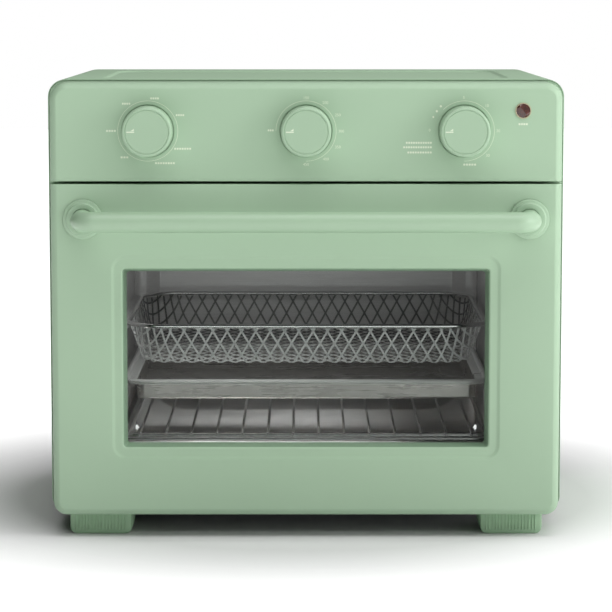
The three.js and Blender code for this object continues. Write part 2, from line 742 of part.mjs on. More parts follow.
place("control_panel", controlPanel(), "green");
place("control_bracket", controlBracket(), "steel");
place("selector_switch", selectorSwitch(), "black");
place("thermostat", thermostat(), "steel");
place("thermostat_probe", thermostatProbe(), "bright");
place("timer", timer(), "steel");
place("indicator_lens", lampLens(), "lens");
place("indicator_lamp", lampBody(), "black");

for (const [name, x] of [["selector", -KNOB_X], ["thermostat", 0], ["timer", KNOB_X]]) {
  place(`${name}_knob`, knob(x), "knobGreen");
  place(`${name}_shaft`, knobShaft(x), "steel");
}

place("front_frame", frontFrame(), "steel");
place("liner_top", linerTop(), "liner");
place("liner_back", linerBack(), "liner");
place("liner_floor", linerFloor(), "liner");
place("crumb_tray", crumbTray(), "liner");

place("door_panel", doorPanel(), "green");
place("door_glass", doorGlass(), "glass");
place("window_seal", windowSeal(), "seal");
place("door_inner_frame", doorInnerFrame(), "steel");
place("handle_bar", handleBar(), "green");

for (const [name, side] of [["left", -1], ["right", 1]]) {
  place(`liner_${name}`, linerSide(side), "liner");
  place(`handle_rosette_${name}`, rosette(side), "knobGreen");
  place(`handle_screw_${name}`, handleScrew(side), "steel");
  place(`hinge_bracket_${name}`, hingeBracket(side), "steel");
  place(`hinge_pin_${name}`, hingePin(side), "steel");
  place(`hinge_spring_${name}`, hingeSpring(side), "steel");
  place(`upper_element_holder_${name}`, elementHolder(side, HIGH_ELEMENT_DEPTHS, ELEMENT.highHeight), "ceramic");
  place(`lower_element_holder_${name}`, elementHolder(side, LOW_ELEMENT_DEPTHS, ELEMENT.lowHeight), "ceramic");
}

for (const [name, i] of [["front", 0], ["rear", 1]]) {
  place(`upper_element_${name}`, heatingElement(HIGH_ELEMENT_DEPTHS[i], ELEMENT.highHeight), "element");
  place(`lower_element_${name}`, heatingElement(LOW_ELEMENT_DEPTHS[i], ELEMENT.lowHeight), "element");
}

place("wire_rack", wireRack(), "bright");
place("baking_pan", bakingPan(), "pan");
place("air_fry_basket", airFryBasket(), "bright");
place("fan_guard", fanGuard(), "liner");
place("fan_blade", fanBlade(), "steel");
place("fan_shaft", fanShaft(), "steel");
place("fan_motor", fanMotor(), "black");

export default oven;
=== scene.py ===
# Looks of the countertop air-fry oven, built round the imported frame.
# Dictionaries hold millimetres and degrees; "depth" is the distance behind the front face.
import math
import bmesh
import bpy
from mathutils import Matrix, Vector


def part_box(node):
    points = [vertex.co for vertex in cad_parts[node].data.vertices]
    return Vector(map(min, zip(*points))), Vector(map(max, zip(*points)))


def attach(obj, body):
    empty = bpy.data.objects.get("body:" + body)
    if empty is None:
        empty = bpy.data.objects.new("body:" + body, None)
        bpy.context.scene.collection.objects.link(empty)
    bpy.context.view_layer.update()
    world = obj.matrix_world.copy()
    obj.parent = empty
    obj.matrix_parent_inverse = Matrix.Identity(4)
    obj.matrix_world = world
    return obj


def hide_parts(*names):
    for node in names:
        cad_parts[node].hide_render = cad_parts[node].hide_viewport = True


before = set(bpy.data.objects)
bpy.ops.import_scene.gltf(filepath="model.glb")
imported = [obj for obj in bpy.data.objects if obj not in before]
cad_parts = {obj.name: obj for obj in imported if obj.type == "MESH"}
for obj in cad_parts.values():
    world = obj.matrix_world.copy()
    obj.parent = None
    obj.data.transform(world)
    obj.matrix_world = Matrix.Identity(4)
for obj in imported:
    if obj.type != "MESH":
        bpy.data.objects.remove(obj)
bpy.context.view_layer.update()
mm = 0.001


# ---- frame readings ----

def boxOf(node):
    low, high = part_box(node)
    return low / mm, high / mm


doorLow, doorHigh = boxOf("door_panel")
panelLow, panelHigh = boxOf("control_panel")
shellLow, shellHigh = boxOf("outer_shell")
frontY = doorLow.y
halfWidth = shellHigh.x
slabHalf = panelHigh.x
print("frame read: front face at", round(frontY, 1), "half width", round(halfWidth, 1))


# ---- camera ----

camera = bpy.data.objects.new("camera", bpy.data.cameras.new("camera"))
bpy.context.scene.collection.objects.link(camera)
camera.location = (0, -2.2052, 0.4305)
camera.rotation_euler = (math.radians(83.226), 0, 0)
camera.data.sensor_width = 36
camera.data.lens = 157.47
bpy.context.scene.camera = camera


# ---- mesh helpers ----

def addPiece(name, points, faces, material, smooth=35, turnOut=True):
    mesh = bpy.data.meshes.new(name)
    mesh.from_pydata([Vector(p) * mm for p in points], [], faces)
    if turnOut:
        work = bmesh.new()
        work.from_mesh(mesh)
        bmesh.ops.remove_doubles(work, verts=work.verts, dist=1e-7)
        bmesh.ops.recalc_face_normals(work, faces=work.faces)
        work.to_mesh(mesh)
        work.free()
    mesh.materials.append(material)
    shade(mesh, smooth)
    piece = bpy.data.objects.new(name, mesh)
    bpy.context.scene.collection.objects.link(piece)
    return piece


def shade(mesh, angle):
    mesh.shade_smooth()
    mesh.set_sharp_from_angle(angle=math.radians(angle))


# Several [points, faces] shapes as one.
def joined(*shapes):
    points = []
    faces = []
    for shapePoints, shapeFaces in shapes:
        start = len(points)
        points.extend(shapePoints)
        faces.extend(tuple(start + k for k in face) for face in shapeFaces)
    return points, faces


# Rings of equal count, skinned in order; the ends are capped, or the last ring meets the first.
def loft(rings, caps=True, loop=False, closedRing=True):
    size = len(rings[0])
    points = [p for ring in rings for p in ring]
    faces = []
    rows = len(rings) if loop else len(rings) - 1
    columns = size if closedRing else size - 1
    for i in range(rows):
        a = i * size
        b = (i + 1) % len(rings) * size
        for j in range(columns):
            k = (j + 1) % size
            faces.append((a + j, a + k, b + k, b + j))
    if caps and not loop:
        faces.append(tuple(range(size))[::-1])
        faces.append(tuple(range((len(rings) - 1) * size, len(rings) * size)))
    return points, faces


# A rounded rectangle, anticlockwise from the lower left corner; radii run the same way.
def roundedRectangle(x0, x1, z0, z1, radii, steps=8):
    if not isinstance(radii, (list, tuple)):
        radii = [radii] * 4
    corners = [(x0, z0, 1, 1, 180), (x1, z0, -1, 1, 270), (x1, z1, -1, -1, 0), (x0, z1, 1, -1, 90)]
    ring = []
    for (x, z, sx, sz, start), radius in zip(corners, radii):
        for k in range(steps + 1):
            angle = math.radians(start + 90 * k / steps)
            ring.append((x + radius * (sx + math.cos(angle)), z + radius * (sz + math.sin(angle))))
    return ring


# An outline in X and Z, stood up at a depth.
def atDepth(ring, depth):
    return [(x, frontY + depth, z) for x, z in ring]


# An outline in X and depth, laid at a height.
def atHeight(ring, height):
    return [(x, frontY + depth, height) for x, depth in ring]


# A corner-rounded path through points of two or three numbers.
def filletPath(corners, radii, steps=6, closed=False):
    count = len(corners)
    if not isinstance(radii, (list, tuple)):
        radii = [radii] * count
    path = []
    for i, corner in enumerate(corners):
        here = Vector(corner)
        radius = radii[i]
        if radius <= 0 or (not closed and i in (0, count - 1)):
            path.append(tuple(here))
            continue
        before = (Vector(corners[i - 1]) - here).normalized()
        after = (Vector(corners[(i + 1) % count]) - here).normalized()
        half = before.angle(after) / 2
        if half > math.radians(89.5):
            path.append(tuple(here))
            continue
        reach = radius / math.tan(half)
        centre = here + (before + after).normalized() * radius / math.sin(half)
        first = here + before * reach - centre
        last = here + after * reach - centre
        turn = math.pi - 2 * half
        for k in range(steps + 1):
            share = k / steps
            a = math.sin((1 - share) * turn) / math.sin(turn)
            b = math.sin(share * turn) / math.sin(turn)
            path.append(tuple(centre + first * a + last * b))
    return path


# A round bar of this radius along a path of points.
def sweep(path, radius, sides=12, closed=False):
    points = [Vector(p) for p in path]
    count = len(points)
    rings = []
    side = None
    for i, point in enumerate(points):
        before = points[i - 1] if i or closed else point
        after = points[(i + 1) % count] if i < count - 1 or closed else point
        ahead = (after - before).normalized()
        if side is None:
            side = ahead.orthogonal().normalized()
        side = (side - ahead * side.dot(ahead)).normalized()
        up = ahead.cross(side)
        ring = []
        for k in range(sides):
            angle = 2 * math.pi * k / sides
            ring.append(tuple(point + (side * math.cos(angle) + up * math.sin(angle)) * radius))
        rings.append(ring)
    return loft(rings, caps=not closed, loop=closed)


# A profile of (radius, depth) points turned about an axis along Y; radius 0 closes at a pole.
def turned(profile, x, z, sides=64):
    points = []
    rows = []
    for radius, depth in profile:
        if radius <= 0:
            rows.append([len(points)])
            points.append((x, frontY + depth, z))
            continue
        rows.append(list(range(len(points), len(points) + sides)))
        for k in range(sides):
            angle = 2 * math.pi * k / sides
            points.append((x + radius * math.cos(angle), frontY + depth, z + radius * math.sin(angle)))
    faces = []
    pairs = list(zip(rows, rows[1:]))
    if profile[0][0] > 0:
        pairs.append((rows[-1], rows[0]))
    for a, b in pairs:
        for j in range(sides):
            k = (j + 1) % sides
            if len(a) == 1:
                faces.append((a[0], b[k], b[j]))
            elif len(b) == 1:
                faces.append((a[j], a[k], b[0]))
            else:
                faces.append((a[j], a[k], b[k], b[j]))
    return points, faces


# How far a rounded edge draws back at a depth behind its face.
# How far an edge is drawn in at a depth: power 2 is a round, and less comes nearer to a chamfer.
def softInset(depth, radius, power=2.0):
    if depth >= radius:
        return 0
    return radius * (1 - (1 - (1 - depth / radius) ** power) ** (1 / power))


def carry(piece, body, slotName, *nodes):
    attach(piece, body)
    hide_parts(*nodes)
    return piece


# ---- geometry nodes helpers ----

# One node with its settings; inputs are numbers, colours or another node's output.
def put(tree, kind, inputs=None, **settings):
    made = tree.nodes.new(kind)
    for name, value in settings.items():
        setattr(made, name, value)
    for name, value in (inputs or {}).items():
        if isinstance(value, bpy.types.NodeSocket):
            tree.links.new(value, made.inputs[name])
        else:
            made.inputs[name].default_value = value
    return made


# A math node on numbers or other nodes' outputs.
def calc(tree, kind, *parts):
    return put(tree, "ShaderNodeMath", dict(enumerate(parts)), operation=kind).outputs[0]


def newNodes(name, sockets):
    tree = bpy.data.node_groups.new(name, "GeometryNodeTree")
    tree.interface.new_socket("Geometry", in_out="OUTPUT", socket_type="NodeSocketGeometry")
    tree.interface.new_socket("Geometry", in_out="INPUT", socket_type="NodeSocketGeometry")
    for label, kind in sockets.items():
        tree.interface.new_socket(label, in_out="INPUT", socket_type="NodeSocket" + kind)
    return tree, tree.nodes.new("NodeGroupInput").outputs


# The tree's result with its instances made real and one material, as the group's output.
def endNodes(tree, geometry, inputs):
    real = put(tree, "GeometryNodeRealizeInstances", {"Geometry": geometry})
    coat = put(tree, "GeometryNodeSetMaterial",
               {"Geometry": real.outputs[0], "Material": inputs["Material"]})
    put(tree, "NodeGroupOutput", {"Geometry": coat.outputs[0]})


# Runs a tree on a piece with these inputs, and leaves the piece a plain mesh.
def settle(piece, tree, values, smooth=35):
    modifier = piece.modifiers.new(tree.name, "NODES")
    modifier.node_group = tree
    for item in tree.interface.items_tree:
        if item.in_out == "INPUT" and item.name in values:
            modifier[item.identifier] = values[item.name]
    return flatten(piece, smooth)


# A piece's live modifiers turned into plain mesh.
def flatten(piece, smooth=35):
    bpy.context.view_layer.update()
    seen = piece.evaluated_get(bpy.context.evaluated_depsgraph_get())
    mesh = bpy.data.meshes.new_from_object(seen)
    mesh.name = piece.name
    piece.modifiers.clear()
    piece.data = mesh
    shade(mesh, smooth)
    return piece


# Gives a one-sided skin its thickness, away from the side that its faces look to.
def thicken(piece, thickness, smooth=35):
    wall = piece.modifiers.new("sheet", "SOLIDIFY")
    wall.thickness = thickness * mm
    wall.offset = -1
    wall.use_even_offset = True
    return flatten(piece, smooth)


# A row of straight slots with round ends cut through a piece.
def makeSlotNodes():
    sockets = {"Count": "Int", "First": "Vector", "Step": "Vector", "Width": "Float", "Length": "Float",
               "Through": "Float", "Turn": "Vector", "Sides": "Int", "Material": "Material"}
    tree, inputs = newNodes("slotRow", sockets)
    radius = calc(tree, "MULTIPLY", inputs["Width"], 0.5)
    disc = put(tree, "GeometryNodeMeshCylinder",
               {"Vertices": inputs["Sides"], "Radius": radius, "Depth": inputs["Through"]})
    twist = calc(tree, "DIVIDE", math.pi, inputs["Sides"])
    offAxis = put(tree, "ShaderNodeCombineXYZ", {"X": math.radians(90), "Y": twist}).outputs[0]
    lying = put(tree, "GeometryNodeTransform", {"Geometry": disc.outputs[0], "Rotation": offAxis})
    place = put(tree, "GeometryNodeInputPosition")
    parts = put(tree, "ShaderNodeSeparateXYZ", {0: place.outputs[0]})
    sign = calc(tree, "SIGN", parts.outputs["Z"])
    spare = calc(tree, "SUBTRACT", inputs["Length"], inputs["Width"])
    half = calc(tree, "MULTIPLY", spare, 0.5)
    lift = calc(tree, "MULTIPLY", sign, half)
    offset = put(tree, "ShaderNodeCombineXYZ", {"Z": lift})
    drawn = put(tree, "GeometryNodeSetPosition",
                {"Geometry": lying.outputs[0], "Offset": offset.outputs[0]})
    line = put(tree, "GeometryNodeMeshLine",
               {"Count": inputs["Count"], "Start Location": inputs["First"], "Offset": inputs["Step"]})
    row = put(tree, "GeometryNodeInstanceOnPoints",
              {"Points": line.outputs[0], "Instance": drawn.outputs[0], "Rotation": inputs["Turn"]})
    cutters = put(tree, "GeometryNodeRealizeInstances", {"Geometry": row.outputs[0]})
    holes = put(tree, "GeometryNodeMeshBoolean",
                {"Mesh 1": inputs["Geometry"], "Mesh 2": cutters.outputs[0]},
                operation="DIFFERENCE", solver="EXACT")
    endNodes(tree, holes.outputs[0], inputs)
    return tree


# Copies of one small piece on the points of another.
def makeScatterNodes():
    tree, inputs = newNodes("scatter", {"Piece": "Object", "Turn": "Vector", "Material": "Material"})
    source = put(tree, "GeometryNodeObjectInfo", {"Object": inputs["Piece"], "As Instance": True})
    copies = put(tree, "GeometryNodeInstanceOnPoints",
                 {"Points": inputs["Geometry"], "Instance": source.outputs["Geometry"],
                  "Rotation": inputs["Turn"]})
    endNodes(tree, copies.outputs[0], inputs)
    return tree


# Bars of a round section along every edge line of a piece, repeated Count times.
def makeBarNodes():
    tree, inputs = newNodes("barRow", {"Radius": "Float", "Sides": "Int", "Count": "Int", "Step": "Vector",
                                       "Material": "Material"})
    line = put(tree, "GeometryNodeMeshToCurve", {0: inputs["Geometry"]})
    ring = put(tree, "GeometryNodeCurvePrimitiveCircle",
               {"Resolution": inputs["Sides"], "Radius": inputs["Radius"]})
    bar = put(tree, "GeometryNodeCurveToMesh",
              {"Curve": line.outputs[0], "Profile Curve": ring.outputs[0], "Fill Caps": True})
    row = put(tree, "GeometryNodeMeshLine", {"Count": inputs["Count"], "Offset": inputs["Step"]})
    copies = put(tree, "GeometryNodeInstanceOnPoints",
                 {"Points": row.outputs[0], "Instance": bar.outputs[0]})
    endNodes(tree, copies.outputs[0], inputs)
    return tree


slotNodes = makeSlotNodes()
scatterNodes = makeScatterNodes()
barNodes = makeBarNodes()


# first and step are (x, depth, z) in millimetres; turn is in degrees
def cutSlots(piece, count, first, step, width, length, through, turn=(0, 0, 0), sides=20):
    x, depth, z = first
    return settle(piece, slotNodes, {
        "Count": count,
        "First": Vector((x, frontY + depth, z)) * mm,
        "Step": Vector(step) * mm,
        "Width": width * mm,
        "Length": length * mm,
        "Through": through * mm,
        "Turn": [math.radians(angle) for angle in turn],
        "Sides": sides,
        "Material": piece.data.materials[0],
    })


# A piece of bars that follow these lines of points.
def addBars(name, lines, radius, sides, material, count=1, step=(0, 0, 0), closed=False):
    points = []
    edges = []
    for line in lines:
        start = len(points)
        points.extend(Vector(p) * mm for p in line)
        edges.extend((start + k, start + k + 1) for k in range(len(line) - 1))
        if closed:
            edges.append((len(points) - 1, start))
    mesh = bpy.data.meshes.new(name)
    mesh.from_pydata(points, edges, [])
    piece = bpy.data.objects.new(name, mesh)
    bpy.context.scene.collection.objects.link(piece)
    return settle(piece, barNodes, {"Radius": radius * mm, "Sides": sides, "Count": count,
                                    "Step": Vector(step) * mm, "Material": material}, 60)


# ---- finishes ----

def shown(red, green, blue, alpha=1.0):
    parts = []
    for value in (red, green, blue):
        share = value / 255
        parts.append(share / 12.92 if share <= 0.04045 else ((share + 0.055) / 1.055) ** 2.4)
    return (*parts, alpha)


def newFinish(name):
    material = bpy.data.materials.new(name)
    material.use_nodes = True
    tree = material.node_tree
    tree.nodes.clear()
    shader = tree.nodes.new("ShaderNodeBsdfPrincipled")
    put(tree, "ShaderNodeOutputMaterial", {"Surface": shader.outputs[0]})
    where = put(tree, "ShaderNodeTexCoord").outputs["Object"]
    return material, tree, shader, where


def noise(tree, where, scale, detail=3.0, stretch=None):
    if stretch:
        where = put(tree, "ShaderNodeMapping", {"Vector": where, "Scale": stretch}).outputs[0]
    return put(tree, "ShaderNodeTexNoise", {"Vector": where, "Scale": scale, "Detail": detail}).outputs[0]


def spread(tree, value, low, high, start=0.3, end=0.7):
    sizes = {"Value": value, "From Min": start, "From Max": end, "To Min": low, "To Max": high}
    return put(tree, "ShaderNodeMapRange", sizes).outputs[0]


def mixed(tree, share, first, second):
    return put(tree, "ShaderNodeMix", {0: share, 6: first, 7: second}, data_type="RGBA").outputs[2]


# Two heights of relief, the coarse under the fine; distances are in millimetres.
def relief(tree, shader, coarse, coarseDepth, fine, fineDepth):
    under = put(tree, "ShaderNodeBump", {"Height": coarse, "Strength": 1.0, "Distance": coarseDepth * mm})
    over = put(tree, "ShaderNodeBump",
               {"Height": fine, "Strength": 1.0, "Distance": fineDepth * mm, "Normal": under.outputs[0]})
    tree.links.new(over.outputs[0], shader.inputs["Normal"])


# Painted sheet and moulded plastic: an even colour with faint clouds, grain and flow marks.
def coatFinish(name, look):
    material, tree, shader, where = newFinish(name)
    clouds = noise(tree, where, look["cloudScale"])
    grain = noise(tree, where, look["grainScale"], 4.0)
    waves = noise(tree, where, look["waveScale"], 1.0)
    dark = tuple(part * (1 - look["variation"]) for part in look["colour"][:3]) + (1,)
    light = tuple(min(1, part * (1 + look["variation"])) for part in look["colour"][:3]) + (1,)
    tree.links.new(mixed(tree, spread(tree, clouds, 0, 1), dark, light), shader.inputs["Base Color"])
    rough = spread(tree, grain, look["roughness"] - 0.05, look["roughness"] + 0.05)
    tree.links.new(rough, shader.inputs["Roughness"])
    relief(tree, shader, waves, look["waveDepth"], grain, look["grainDepth"])
    shader.inputs["Specular IOR Level"].default_value = look["specular"]
    shader.inputs["Coat Weight"].default_value = look["coat"]
    shader.inputs["Coat Roughness"].default_value = 0.3
    return material


# Metal with a grain drawn along one axis; stretch is small along the grain.
def metalFinish(name, look):
    material, tree, shader, where = newFinish(name)
    clouds = noise(tree, where, look["cloudScale"])
    grain = noise(tree, where, look["grainScale"], 5.0, look["stretch"])
    dark = tuple(part * (1 - look["variation"]) for part in look["colour"][:3]) + (1,)
    both = calc(tree, "ADD", clouds, grain)
    tone = spread(tree, both, 0, 1, 0.7, 1.3)
    tree.links.new(mixed(tree, tone, dark, look["colour"]), shader.inputs["Base Color"])
    smoothest = look["roughness"] - look["roughnessSpread"]
    roughest = look["roughness"] + look["roughnessSpread"]
    tree.links.new(spread(tree, both, smoothest, roughest, 0.7, 1.3), shader.inputs["Roughness"])
    relief(tree, shader, clouds, look["cloudDepth"], grain, look["grainDepth"])
    shader.inputs["Metallic"].default_value = look.get("metallic", 1.0)
    return material


green = shown(163, 190, 162)
shellFinish = coatFinish("painted_shell", {
    "colour": green, "variation": 0.012, "roughness": 0.62, "specular": 0.12, "coat": 0.0,
    "cloudScale": 9, "grainScale": 1900, "grainDepth": 0.012, "waveScale": 420, "waveDepth": 0.02})
frontFinish = coatFinish("moulded_front", {
    "colour": green, "variation": 0.010, "roughness": 0.48, "specular": 0.40, "coat": 0.04,
    "cloudScale": 7, "grainScale": 2600, "grainDepth": 0.006, "waveScale": 30, "waveDepth": 0.05})
# Darker green for the window's wall: painted shade in the recess round the glass, on the same green plastic as
# the front.
collarShadeFinish = coatFinish("moulded_recess", {
    "colour": shown(128, 155, 129), "variation": 0.010, "roughness": 0.5, "specular": 0.3, "coat": 0.0,
    "cloudScale": 7, "grainScale": 2600, "grainDepth": 0.006, "waveScale": 30, "waveDepth": 0.05})
trimFinish = coatFinish("moulded_trim", {
    "colour": shown(160, 187, 159), "variation": 0.012, "roughness": 0.40, "specular": 0.45, "coat": 0.08,
    "cloudScale": 20, "grainScale": 3200, "grainDepth": 0.004, "waveScale": 90, "waveDepth": 0.02})
footFinish = coatFinish("moulded_foot", {
    "colour": shown(164, 196, 163), "variation": 0.03, "roughness": 0.56, "specular": 0.35, "coat": 0.0,
    "cloudScale": 60, "grainScale": 2200, "grainDepth": 0.015, "waveScale": 300, "waveDepth": 0.02})
blackFinish = coatFinish("moulded_black", {
    "colour": shown(34, 35, 36), "variation": 0.08, "roughness": 0.55, "specular": 0.4, "coat": 0.0,
    "cloudScale": 60, "grainScale": 2400, "grainDepth": 0.02, "waveScale": 200, "waveDepth": 0.02})
ceramicFinish = coatFinish("fired_ceramic", {
    "colour": shown(222, 214, 196), "variation": 0.04, "roughness": 0.7, "specular": 0.4, "coat": 0.0,
    "cloudScale": 120, "grainScale": 1500, "grainDepth": 0.05, "waveScale": 400, "waveDepth": 0.05})
rubberFinish = coatFinish("silicone_seal", {
    "colour": shown(44, 44, 45), "variation": 0.06, "roughness": 0.75, "specular": 0.3, "coat": 0.0,
    "cloudScale": 80, "grainScale": 1800, "grainDepth": 0.03, "waveScale": 200, "waveDepth": 0.02})
printFinish = coatFinish("printed_marks", {
    "colour": shown(216, 226, 205), "variation": 0.03, "roughness": 0.5, "specular": 0.3, "coat": 0.0,
    "cloudScale": 300, "grainScale": 3000, "grainDepth": 0.003, "waveScale": 500, "waveDepth": 0.002})

bezelFinish = coatFinish("lamp_rim", {
    "colour": shown(176, 170, 140), "variation": 0.04, "roughness": 0.4, "specular": 0.4, "coat": 0.05,
    "cloudScale": 200, "grainScale": 3000, "grainDepth": 0.003, "waveScale": 300, "waveDepth": 0.002})

linerFinish = metalFinish("liner_steel", {
    "colour": (0.60, 0.585, 0.585, 1), "variation": 0.18,
    "roughness": 0.4, "roughnessSpread": 0.07, "metallic": 0.6,
    "cloudScale": 14, "cloudDepth": 0.4, "grainScale": 6, "stretch": (4, 60, 160), "grainDepth": 0.02})
# Near-white, half-metallic finish for the pan's rolled rim: a painted highlight standing in for the bright line
# of reflected light along the bead.
beadHighlightFinish = metalFinish("polished_bead", {
    "colour": (0.95, 0.95, 0.93, 1), "variation": 0.05,
    "roughness": 0.3, "roughnessSpread": 0.03, "metallic": 0.4,
    "cloudScale": 20, "cloudDepth": 0.1, "grainScale": 6, "stretch": (4, 60, 60), "grainDepth": 0.01})
trayFinish = metalFinish("tray_steel", {
    "colour": (0.60, 0.60, 0.59, 1), "variation": 0.10,
    "roughness": 0.55, "roughnessSpread": 0.05, "metallic": 0.1,
    "cloudScale": 20, "cloudDepth": 0.2, "grainScale": 6, "stretch": (4, 60, 60), "grainDepth": 0.02})
sheetFinish = metalFinish("zinc_sheet", {
    "colour": (0.46, 0.47, 0.48, 1), "variation": 0.25, "roughness": 0.42, "roughnessSpread": 0.1,
    "cloudScale": 55, "cloudDepth": 0.15, "grainScale": 6, "stretch": (40, 30, 90), "grainDepth": 0.02})
wireFinish = metalFinish("bright_wire", {
    "colour": (0.78, 0.78, 0.77, 1), "variation": 0.12, "roughness": 0.2, "roughnessSpread": 0.06,
    "cloudScale": 220, "cloudDepth": 0.03, "grainScale": 40, "stretch": (20, 20, 20), "grainDepth": 0.01})
panFinish = metalFinish("pan_steel", {
    "colour": (0.36, 0.34, 0.325, 1), "variation": 0.08,
    "roughness": 0.28, "roughnessSpread": 0.03, "metallic": 0.55,
    "cloudScale": 26, "cloudDepth": 0.08, "grainScale": 8, "stretch": (3, 60, 60), "grainDepth": 0.006})
elementFinish = metalFinish("heating_rod", {
    "colour": (0.12, 0.10, 0.09, 1), "variation": 0.45, "roughness": 0.55, "roughnessSpread": 0.12,
    "cloudScale": 70, "cloudDepth": 0.1, "grainScale": 60, "stretch": (10, 40, 40), "grainDepth": 0.04})
pinFinish = metalFinish("turned_steel", {
    "colour": (0.60, 0.60, 0.61, 1), "variation": 0.15, "roughness": 0.28, "roughnessSpread": 0.06,
    "cloudScale": 150, "cloudDepth": 0.02, "grainScale": 60, "stretch": (60, 6, 6), "grainDepth": 0.01})


# Expanded sheet, painted brightest at the front wall and dark towards the rear: painted light at the front and
# painted shade towards the rear, with metallic rising towards the rear.
def meshSheetLightShadeFinish():
    material, tree, shader, where = newFinish("expanded_sheet")
    clouds = noise(tree, where, 220)
    place = put(tree, "ShaderNodeSeparateXYZ", {0: where}).outputs["Y"]
    # Depth alone sets the painted light and shade: the light tone at the front wall, the shaded tone towards
    # the rear.
    share = spread(tree, place, 0, 1, -0.085, 0.09)
    bright = mixed(tree, clouds, (0.74, 0.74, 0.73, 1), (0.86, 0.86, 0.85, 1))
    rearShade = mixed(tree, clouds, (0.20, 0.20, 0.20, 1), (0.30, 0.30, 0.29, 1))
    tree.links.new(mixed(tree, share, bright, rearShade), shader.inputs["Base Color"])
    tree.links.new(spread(tree, share, 0.35, 1.0, 0, 1), shader.inputs["Metallic"])
    tree.links.new(spread(tree, clouds, 0.28, 0.4), shader.inputs["Roughness"])
    bump = put(tree, "ShaderNodeBump", {"Height": clouds, "Strength": 1.0, "Distance": 0.03 * mm})
    tree.links.new(bump.outputs[0], shader.inputs["Normal"])
    return material


def glassFinish():
    material, tree, shader, where = newFinish("window_glass")
    smudge = noise(tree, where, 18, 3.0)
    tree.links.new(spread(tree, smudge, 0.03, 0.07), shader.inputs["Roughness"])
    shader.inputs["Base Color"].default_value = (0.02, 0.025, 0.023, 1)
    clear = put(tree, "ShaderNodeBsdfTransparent", {"Color": (0.93, 0.95, 0.94, 1)})
    gloss = put(tree, "ShaderNodeFresnel", {"IOR": 1.45})
    blend = put(tree, "ShaderNodeMixShader",
                {0: gloss.outputs[0], 1: clear.outputs[0], 2: shader.outputs[0]})
    output = next(n for n in tree.nodes if n.bl_idname == "ShaderNodeOutputMaterial")
    tree.links.new(blend.outputs[0], output.inputs["Surface"])
    return material


def lensFinish():
    material, tree, shader, where = newFinish("lamp_lens")
    clouds = noise(tree, where, 250, 2.0)
    tree.links.new(mixed(tree, spread(tree, clouds, 0, 1), shown(58, 22, 14), shown(84, 36, 24)),
                   shader.inputs["Base Color"])
    tree.links.new(spread(tree, clouds, 0.1, 0.2), shader.inputs["Roughness"])
    shader.inputs["Coat Weight"].default_value = 0.6
    return material


glass = glassFinish()
meshLightShadeFinish = meshSheetLightShadeFinish()
lensRed = lensFinish()
print("finishes ready")


# ---- outer shell ----

shellSizes = {
    "sheet": 0.7, "bottomRadius": 10.5, "topRadius": 13.5, "rearRadius": 19,
    "recessHalf": 162, "recessFront": 55, "recessBack": 255, "recessCorner": 20,
    "recessDrop": 1.3, "recessSlope": 3.2,
    "ventCount": 8, "ventFirst": 200, "ventPitch": 9, "ventWidth": 3.6, "ventLow": 300, "ventHigh": 336,
}


# Height of the pressed recess at a place on the top: 0 outside it, 1 on its floor.
def recessShare(x, depth):
    size = shellSizes
    corner = size["recessCorner"]
    middle = (size["recessFront"] + size["recessBack"]) / 2
    halfLength = (size["recessBack"] - size["recessFront"]) / 2
    dx = max(abs(x) - size["recessHalf"] + corner, 0)
    dy = max(abs(depth - middle) - halfLength + corner, 0)
    inside = corner - math.hypot(dx, dy)
    share = min(max(inside / size["recessSlope"], 0), 1)
    return share * share * (3 - 2 * share)


def shellSection(share):
    size = shellSizes
    low = size["bottomRadius"]
    high = size["topRadius"] + share * (size["rearRadius"] - size["topRadius"])
    top = shellHigh.z
    right = []
    for k in range(9):
        angle = math.radians(-90 + 90 * k / 8)
        right.append((halfWidth - low + low * math.cos(angle), shellLow.z + low + low * math.sin(angle)))
    right.append((halfWidth, shellLow.z + low + 1.5))
    right.append((halfWidth, top - high - 1.5))
    for k in range(11):
        angle = math.radians(90 * k / 10)
        right.append((halfWidth - high + high * math.cos(angle), top - high + high * math.sin(angle)))
    edge = size["recessHalf"]
    lines = [halfWidth - high - 1.5, edge + 4]
    lines += [edge + 1 - step for step in range(24)]
    lines += [90, 45]
    across = [(x, top) for x in lines]
    leftAcross = [(-x, z) for x, z in reversed(across)]
    left = [(-x, z) for x, z in reversed(right)]
    return right + across + [(0, top)] + leftAcross + left


def makeShell():
    size = shellSizes
    front = shellLow.y - frontY
    back = shellHigh.y - frontY
    near = size["recessFront"] - 1
    far = size["recessBack"] + 1
    depths = [front, front + 0.8, 40] + [near + step for step in range(24)] + [110, 155, 200]
    depths += [far - 23 + step for step in range(24)] + [272, back - 0.8, back]
    rings = []
    for depth in depths:
        ring = []
        for x, z in shellSection((depth - front) / (back - front)):
            drop = size["recessDrop"] * recessShare(x, depth) if z > shellHigh.z - 0.01 else 0
            ring.append((x, frontY + depth, z - drop))
        rings.append(ring)
    points, faces = loft(rings, caps=False, closedRing=False)
    faces = [face[::-1] for face in faces]
    piece = addPiece("shell_cover", points, faces, shellFinish, turnOut=False)
    thicken(piece, size["sheet"])
    height = (size["ventLow"] + size["ventHigh"]) / 2
    length = size["ventHigh"] - size["ventLow"]
    for side in (-1, 1):
        cutSlots(piece, size["ventCount"], (side * halfWidth, size["ventFirst"], height),
                 (0, size["ventPitch"], 0), size["ventWidth"], length, 10, (0, 0, 90))
    return carry(piece, "cabinet", "body_green", "outer_shell")


makeShell()
print("shell made")


# ---- control panel ----

slabSizes = {"softening": 5.4, "power": 1.5, "seamEdge": 0.8, "bottomRadius": 10.5, "topRadius": 13.5,
             "wall": 3.5, "steps": 10, "pocket": 41.2, "pocketDepth": 1.2, "shaftHole": 8.4, "lampHole": 11}
edgeDepths = [slabSizes["softening"] * (k / 10) ** 2 for k in range(11)]


